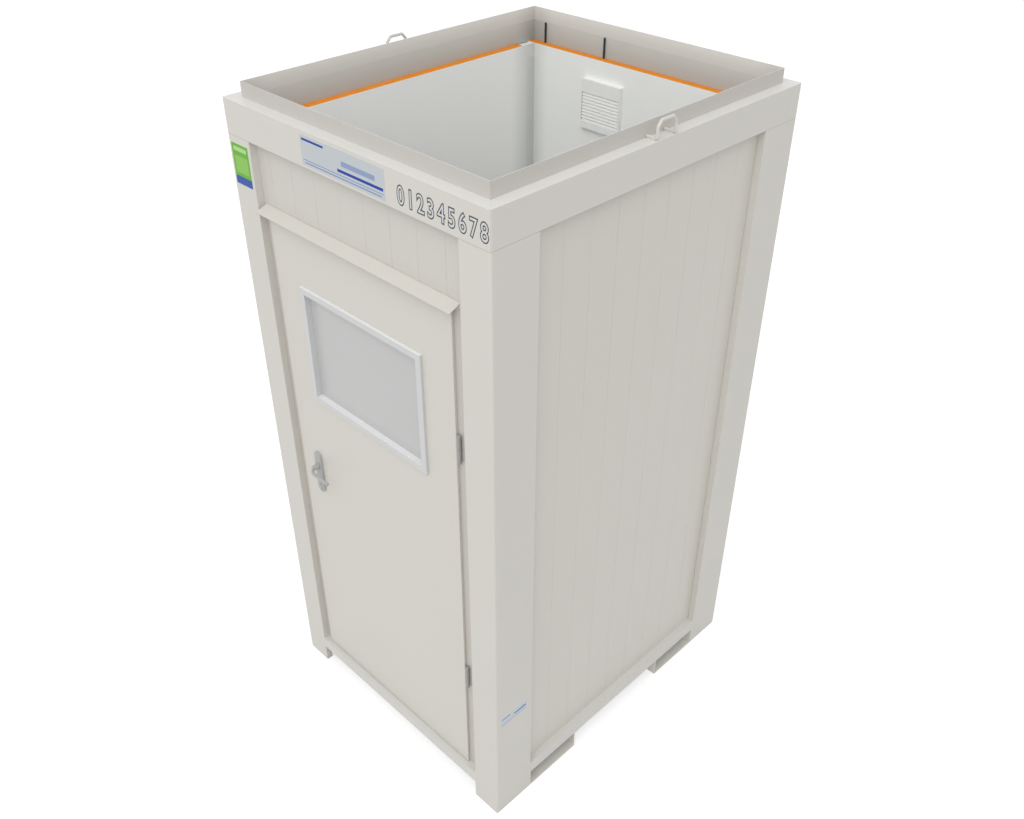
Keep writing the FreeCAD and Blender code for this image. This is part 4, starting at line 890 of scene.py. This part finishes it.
def vent_cover(node, name, material, side):
    """Makes one cover in place of a node: a shallow tray open towards the wall, with blades in its face."""
    low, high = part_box(node)
    face_y, back_y = (low.y, high.y) if side < 0 else (high.y, low.y)
    inward = -side * COVER_SHEET
    cover = bmesh.new()
    field_top = high.z - COVER_TOP
    field_low = field_top - BLADES * BLADE_PITCH
    holed_sheet(
        cover, (low.x, face_y, low.z), (high.x, face_y, high.z),
        [(low.x + COVER_EDGE, field_low, high.x - COVER_EDGE, field_top)], inward, 1,
    )
    near_y, far_y = sorted((face_y + inward, back_y))
    box_ring(cover, low, high, COVER_SHEET, near_y, far_y, 0)
    blade_row(
        cover, low.x + COVER_EDGE, high.x - COVER_EDGE, field_low, face_y - side * BLADE_SINK, side
    )
    made = finish_piece(cover, name, material, "cabin")
    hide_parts(node)


vent_cover("vent_grille", "inner_vent_cover", vent_paint, -1)
vent_cover("vent_cowl", "outer_vent_cover", frame_paint, 1)
VENT_HOLE_WIDE = 0.150
VENT_HOLE_HIGH = 0.110
SLEEVE_SHEET = 0.001
SLEEVE_GAP = 0.0005
vent_low, vent_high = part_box("vent_grille")
vent_middle = (vent_low + vent_high) / 2
sleeve_half = Vector((VENT_HOLE_WIDE / 2 - SLEEVE_GAP, 0, VENT_HOLE_HIGH / 2 - SLEEVE_GAP))
sleeve = bmesh.new()
sleeve_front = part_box("rear_wall_inner_skin")[0].y
sleeve_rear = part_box("rear_wall_outer_skin")[1].y
box_ring(
    sleeve, vent_middle - sleeve_half, vent_middle + sleeve_half,
    SLEEVE_SHEET, sleeve_front, sleeve_rear, 0,
)
finish_piece(sleeve, "vent_sleeve", zinc_sheet, "cabin")


# Wiring: two short ends of black flexible conduit of 8 mm come up the inside of the rear rail, ready for the
# roof's lamp and fan. They are ribbed plastic, cut square.

CONDUIT_RADIUS = 0.004
CONDUIT_RIB = 0.0026
CONDUIT_GROOVE = 0.0006
CONDUIT_ABOVE = 0.001
CONDUIT_LONG = 0.083
CONDUIT_PLACES = (-0.489, -0.193)
conduits = bmesh.new()
rear_rail_low, rear_rail_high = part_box("top_rail_rear")
conduit_y = rear_rail_low.y - CONDUIT_RADIUS
conduit_low = rear_rail_high.z + CONDUIT_ABOVE - CONDUIT_LONG
for conduit_x in CONDUIT_PLACES:
    for rib in range(int(CONDUIT_LONG // CONDUIT_RIB)):
        wide = CONDUIT_RADIUS if rib % 2 else CONDUIT_RADIUS - CONDUIT_GROOVE
        spot = (conduit_x, conduit_y, conduit_low + rib * CONDUIT_RIB)
        drum(conduits, spot, (0, 0, 1), wide, CONDUIT_RIB, 0, SMALL_SIDES)
black_plastic = moulded("black_polyamide_conduit", "202124", "2B2C2F", 0.5)
finish_piece(conduits, "conduit_ends", black_plastic, "cabin")


# Toilet: a glazed vitreous china pan with its cistern, a moulded seat, a chromed push button in a ring on
# the lid, and a grey soil pipe through the floor. The lid's edge shows as a fine line round the cistern.

glaze = moulded("vitreous_china_glaze", "EEEEEA", "F2F2EE", 0.08, 60.0, 0.00006, IOR=1.5)
seat_plastic = moulded("moulded_seat_plastic", "EFEFED", "F3F3F1", 0.25)
dress_nodes(glaze, "toilet_pan", "cistern")
dress_nodes(seat_plastic, "toilet_seat")
dress_nodes(moulded("grey_pipe_plastic", "8F9294", "999C9E", 0.45), "soil_pipe")
chrome = drawn_metal("chrome_plate", "C4C5C6", "D2D3D4", 0.14, (200.0, 200.0, 200.0))
dress_nodes(chrome, "flush_button")
LID_DROP = 0.024
LID_LAP = 0.0015
cistern_low, cistern_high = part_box("cistern")
lid = bmesh.new()
block(
    lid,
    (cistern_low.x - LID_LAP, cistern_low.y - LID_LAP, cistern_high.z - LID_DROP),
    (cistern_high.x + LID_LAP, cistern_high.y, cistern_high.z),
)
lid.normal_update()
level = [face for face in lid.faces if abs(face.normal.z) > LOOKS_UP]
bmesh.ops.delete(lid, geom=level, context="FACES_ONLY")
bmesh.ops.recalc_face_normals(lid, faces=lid.faces)
bmesh.ops.solidify(lid, geom=lid.faces[:], thickness=-LID_LAP)
finish_piece(lid, "cistern_lid_edge", glaze, "cabin")
BUTTON_GAP = 0.001
RING_WIDE = 0.005
RING_IN_HIGH = 0.002
RING_OUT_HIGH = 0.001
SAME_SPOT = 0.00001
button_low, button_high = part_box("flush_button")
button_middle = (button_low + button_high) / 2
ring = bmesh.new()
rim_in = (button_high.x - button_low.x) / 2 + BUTTON_GAP
rim_out = rim_in + RING_WIDE
profile = [(rim_in, 0.0), (rim_in, RING_IN_HIGH), (rim_out, RING_OUT_HIGH), (rim_out, 0.0)]
profile_verts = [
    ring.verts.new((button_middle.x + across, button_middle.y, cistern_high.z + up))
    for across, up in profile
]
profile_edges = [
    ring.edges.new((start, end)) for start, end in zip(profile_verts, profile_verts[1:] + profile_verts[:1])
]
bmesh.ops.spin(
    ring, geom=profile_verts + profile_edges, cent=button_middle, axis=(0, 0, 1), angle=math.tau,
    steps=ROUND_SIDES, use_merge=True, use_duplicate=False,
)
bmesh.ops.remove_doubles(ring, verts=ring.verts, dist=SAME_SPOT)
finish_piece(ring, "flush_button_ring", chrome, "cabin")


# Paper: a soft tissue roll, wound in layers and embossed in dots 4 mm apart, on a zinc-plated holder.

DOTS_PER_METRE = 250.0
DOT_DEPTH = 0.0008
PAPER_EDGE = 0.001
FIBRES_PER_METRE = 220.0
made, tree, shader, place = new_material("wound_tissue_paper", 0.95)
dots = add_node(tree, "TexVoronoi", {"feature": "SMOOTH_F1"}, Vector=place, Scale=DOTS_PER_METRE)
fibres = add_node(tree, "TexNoise", Vector=place, Scale=FIBRES_PER_METRE, Detail=4.0).outputs["Fac"]
colour_by(tree, shader, fibres, "EDEBE6", "F6F5F2")
raise_by(tree, shader, dots.outputs["Distance"], DOT_DEPTH, PAPER_EDGE)
dress_nodes(made, "paper_roll")
dress_nodes(drawn_metal("zinc_plated_holder", "A6A8AA", "B9BBBD", 0.36, (60.0, 400.0, 60.0)), "paper_holder")


# Markings: plain printed foil on the front rail and the left post. The rail carries a pale plate with blue
# and grey lines and a row of plain outlined digits; the post carries a green field over a blue band.

def print_patches(tree, tone, across, up, patches):
    """Prints rectangles over a tone, each (left, right, low, top, hex), and returns the new tone."""
    for left, right, low, top, tint in patches:
        within = [
            add_node(
                tree, "Math", {"operation": "COMPARE"}, _0=reach, _1=(start + end) / 2, _2=(end - start) / 2
            ).outputs[0]
            for reach, start, end in ((across, left, right), (up, low, top))
        ]
        inside = add_node(tree, "Math", {"operation": "MULTIPLY"}, _0=within[0], _1=within[1])
        tone = add_node(
            tree, "Mix", {"data_type": "RGBA"}, Factor=inside.outputs[0], _6=tone, _7=screen_colour(tint)
        ).outputs[2]
    return tone


FOIL_THICK = 0.0004
FOIL_ROUND = 0.0001
FILM_GRAIN_PER_METRE = 500.0
FILM_DEPTH = 0.00003
FILM_SHARE = 0.06


def printed_foil(name, ground, patches):
    """Printed vinyl foil on a front face: rectangles of ink on a ground, under a fine-grained clear film."""
    made, tree, shader, place = new_material(name, 0.4, Specular_IOR_Level=0.25)
    split = add_node(tree, "SeparateXYZ", Vector=place).outputs
    grain = add_node(tree, "TexNoise", Vector=place, Scale=FILM_GRAIN_PER_METRE).outputs["Fac"]
    inked = print_patches(tree, screen_colour(ground), split["X"], split["Z"], patches)
    film = add_node(
        tree, "Mix", {"data_type": "RGBA", "blend_type": "MULTIPLY"}, Factor=FILM_SHARE, _6=inked, _7=grain
    )
    tree.links.new(film.outputs[2], shader.inputs["Base Color"])
    raise_by(tree, shader, grain, FILM_DEPTH, FOIL_THICK)
    return made


def foil_patch(name, left, right, low, top, face_y, material):
    """A thin rectangle of foil stuck on a front face."""
    patch = bmesh.new()
    block(patch, (left, face_y - FOIL_THICK, low), (right, face_y, top), FOIL_ROUND, 1)
    finish_piece(patch, name, material, "cabin")


FOIL_BLUE = "003C9E"
PLATE_HALF = 0.191
PLATE_LOW = 2.388
PLATE_TOP = 2.480
front_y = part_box("top_rail_front")[0].y
INK_HALF = 0.184
sign_lines = [
    (-INK_HALF, -0.080, PLATE_TOP - 0.016, PLATE_TOP - 0.009, FOIL_BLUE),
    (-0.020, INK_HALF, PLATE_TOP - 0.066, PLATE_TOP - 0.057, FOIL_BLUE),
    (0.000, 0.150, PLATE_TOP - 0.046, PLATE_TOP - 0.030, "8FA2C4"),
    (-INK_HALF, INK_HALF, PLATE_LOW + 0.0165, PLATE_LOW + 0.0185, "5F7DB4"),
    (-0.176, 0.176, PLATE_LOW + 0.007, PLATE_LOW + 0.011, "7E95BE"),
]
sign_foil = printed_foil("printed_sign_foil", "C6CBD0", sign_lines)
foil_patch("rail_sign_plate", -PLATE_HALF, PLATE_HALF, PLATE_LOW, PLATE_TOP, front_y, sign_foil)
STICKER_LEFT = -0.586
STICKER_RIGHT = -0.495
STICKER_LOW = 2.216
STICKER_TOP = 2.357
STICKER_RIM = 0.003
post_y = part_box("corner_post_front_left")[0].y
sticker_fields = [
    (STICKER_LEFT, STICKER_RIGHT, STICKER_LOW, STICKER_LOW + 0.028, "2453A6"),
    (STICKER_LEFT, STICKER_RIGHT, STICKER_LOW + 0.028, STICKER_TOP - STICKER_RIM, "68B52C"),
    (STICKER_LEFT + 0.010, STICKER_RIGHT - 0.010, STICKER_TOP - 0.028, STICKER_TOP - 0.014, "B5DA98"),
    (STICKER_LEFT + 0.010, STICKER_RIGHT - 0.010, STICKER_LOW + 0.040, STICKER_TOP - 0.044, "8CC75A"),
]
sticker_foil = printed_foil("printed_post_foil", "E2E6E2", sticker_fields)
foil_patch("post_sticker", STICKER_LEFT, STICKER_RIGHT, STICKER_LOW, STICKER_TOP, post_y, sticker_foil)
DIGITS = "012345678"
DIGIT_LEFT = 0.241
DIGIT_RIGHT = 0.595
DIGIT_LOW = 2.395
DIGIT_TOP = 2.458
DIGIT_BOLD = 0.018
DIGIT_LINE = 0.032
DIGIT_SPACE = 1.35
DIGIT_MERGE = 0.0001


def digit_row(outline):
    """Upright digits in a row that face the front: filled, or only their outline as a line of some width."""
    curve = bpy.data.curves.new("digits", "FONT")
    curve.body = DIGITS
    curve.offset = DIGIT_BOLD
    curve.space_character = DIGIT_SPACE
    if outline:
        curve.fill_mode = "NONE"
        curve.bevel_depth = DIGIT_LINE
        curve.bevel_resolution = 0
    written = bpy.data.objects.new("digits", curve)
    scene.collection.objects.link(written)
    data = bpy.data.meshes.new_from_object(written.evaluated_get(bpy.context.evaluated_depsgraph_get()))
    row = bmesh.new()
    row.from_mesh(data)
    bpy.data.objects.remove(written)
    bpy.data.meshes.remove(data)
    bmesh.ops.rotate(row, verts=row.verts, cent=(0, 0, 0), matrix=Matrix.Rotation(math.pi / 2, 3, "X"))
    if not outline:
        thicken(row, row.faces[:], (0, -DIGIT_LINE / 3, 0))
    bmesh.ops.remove_doubles(row, verts=row.verts, dist=DIGIT_MERGE)
    return row


line_row = digit_row(True)
row_low, row_high = [
    Vector([pick(vert.co[axis] for vert in line_row.verts) for axis in range(3)]) for pick in (min, max)
]
stretch = Vector((
    (DIGIT_RIGHT - DIGIT_LEFT) / (row_high.x - row_low.x),
    FOIL_THICK / (2 * DIGIT_LINE),
    (DIGIT_TOP - DIGIT_LOW) / (row_high.z - row_low.z),
))
for row, name, tint_low, tint_high in (
    (line_row, "digit_outlines", "2E3133", "383B3D"),
    (digit_row(False), "digit_faces", "CED0D1", "D4D6D7"),
):
    bmesh.ops.translate(row, verts=row.verts, vec=(-row_low.x, 0, -row_low.z))
    bmesh.ops.scale(row, verts=row.verts, vec=stretch)
    bmesh.ops.translate(row, verts=row.verts, vec=(DIGIT_LEFT, front_y - FOIL_THICK / 4, DIGIT_LOW))
    digits = finish_piece(row, name, moulded("foil_of_" + name, tint_low, tint_high, 0.4), "cabin")


# Type label: a small pale foil with blue and grey lines on the right post's side, painted into that post's
# finish because it has no thickness to speak of.

labelled_paint = post_paint.copy()
labelled_paint.name = "satin_post_paint_with_label"
tree, target, painted = present_colour(labelled_paint)
split = add_node(tree, "SeparateXYZ", Vector=add_node(tree, "TexCoord").outputs["Object"]).outputs
label_lines = [
    (-0.6555, -0.5245, 0.493, 0.541, "C9D0D6"),
    (-0.650, -0.610, 0.529, 0.533, FOIL_BLUE),
    (-0.590, -0.530, 0.514, 0.522, "4C73B4"),
    (-0.650, -0.530, 0.501, 0.504, "8A9DBE"),
]
labelled = print_patches(tree, painted, split["Y"], split["Z"], label_lines)
tree.links.new(labelled, target)
dress_nodes(labelled_paint, "corner_post_front_right")


# Studio: a pale floor that reads white to the camera and keeps the cabin's soft shadow, an even white
# surround, and one large soft lamp in front, to the right and above. The floor is clear from underneath.

def seen_directly(tree):
    """1 where the camera sees a surface, straight on or mirrored, and 0 where it only gives light."""
    path = add_node(tree, "LightPath").outputs
    mirrored = add_node(
        tree, "Math", {"operation": "MAXIMUM"}, _0=path["Is Glossy Ray"], _1=path["Is Transmission Ray"]
    )
    seen = add_node(tree, "Math", {"operation": "MAXIMUM"}, _0=path["Is Camera Ray"], _1=mirrored.outputs[0])
    return seen.outputs[0]


FLOOR_HALF = 40.0
floor_mesh = bmesh.new()
bmesh.ops.create_grid(floor_mesh, x_segments=1, y_segments=1, size=FLOOR_HALF)
floor_data = bpy.data.meshes.new("studio_floor")
floor_mesh.to_mesh(floor_data)
floor_mesh.free()
studio_floor = bpy.data.objects.new("studio_floor", floor_data)
scene.collection.objects.link(studio_floor)
floor_paint = bpy.data.materials.new("matt_studio_floor")
floor_paint.use_nodes = True
tree = floor_paint.node_tree
tree.nodes.clear()
FLOOR_GLOW = 0.54
glow = add_node(tree, "Math", {"operation": "MULTIPLY"}, _0=seen_directly(tree), _1=FLOOR_GLOW).outputs[0]
matt = add_node(tree, "BsdfDiffuse", Color=screen_colour("D3D3D3")).outputs["BSDF"]
lit = add_node(tree, "Emission", Color=(1, 1, 1, 1), Strength=glow).outputs["Emission"]
both = add_node(tree, "AddShader", _0=matt, _1=lit).outputs["Shader"]
underneath = add_node(tree, "NewGeometry").outputs["Backfacing"]
clear = add_node(tree, "BsdfTransparent").outputs["BSDF"]
seen_floor = add_node(tree, "MixShader", Fac=underneath, _1=both, _2=clear).outputs["Shader"]
add_node(tree, "OutputMaterial", Surface=seen_floor)
floor_data.materials.append(floor_paint)

SURROUND = 0.76
world = bpy.data.worlds.new("white_surround")
scene.world = world
world.use_nodes = True
tree = world.node_tree
tree.nodes.clear()
level = add_node(
    tree, "Math", {"operation": "MULTIPLY_ADD"}, _0=seen_directly(tree), _1=1 - SURROUND, _2=SURROUND
)
sky = add_node(tree, "Background", Color=(1, 1, 1, 1), Strength=level.outputs[0]).outputs["Background"]
add_node(tree, "OutputWorld", Surface=sky)

LAMP_WAY = Vector((0.29, -0.60, 0.74)).normalized()
LAMP_AIM = 1.2
LAMP_AWAY = 14.0
LAMP_SIZE = 11.0
LAMP_WATTS = 750
lamp = bpy.data.objects.new("soft_lamp", bpy.data.lights.new("soft_lamp", "AREA"))
lamp.data.shape = "SQUARE"
lamp.data.size = LAMP_SIZE
lamp.data.energy = LAMP_WATTS
lamp.location = Vector((0, 0, LAMP_AIM)) + LAMP_WAY * LAMP_AWAY
lamp.rotation_euler = LAMP_WAY.to_track_quat("Z", "Y").to_euler()
scene.collection.objects.link(lamp)
scene.view_settings.view_transform = "Standard"
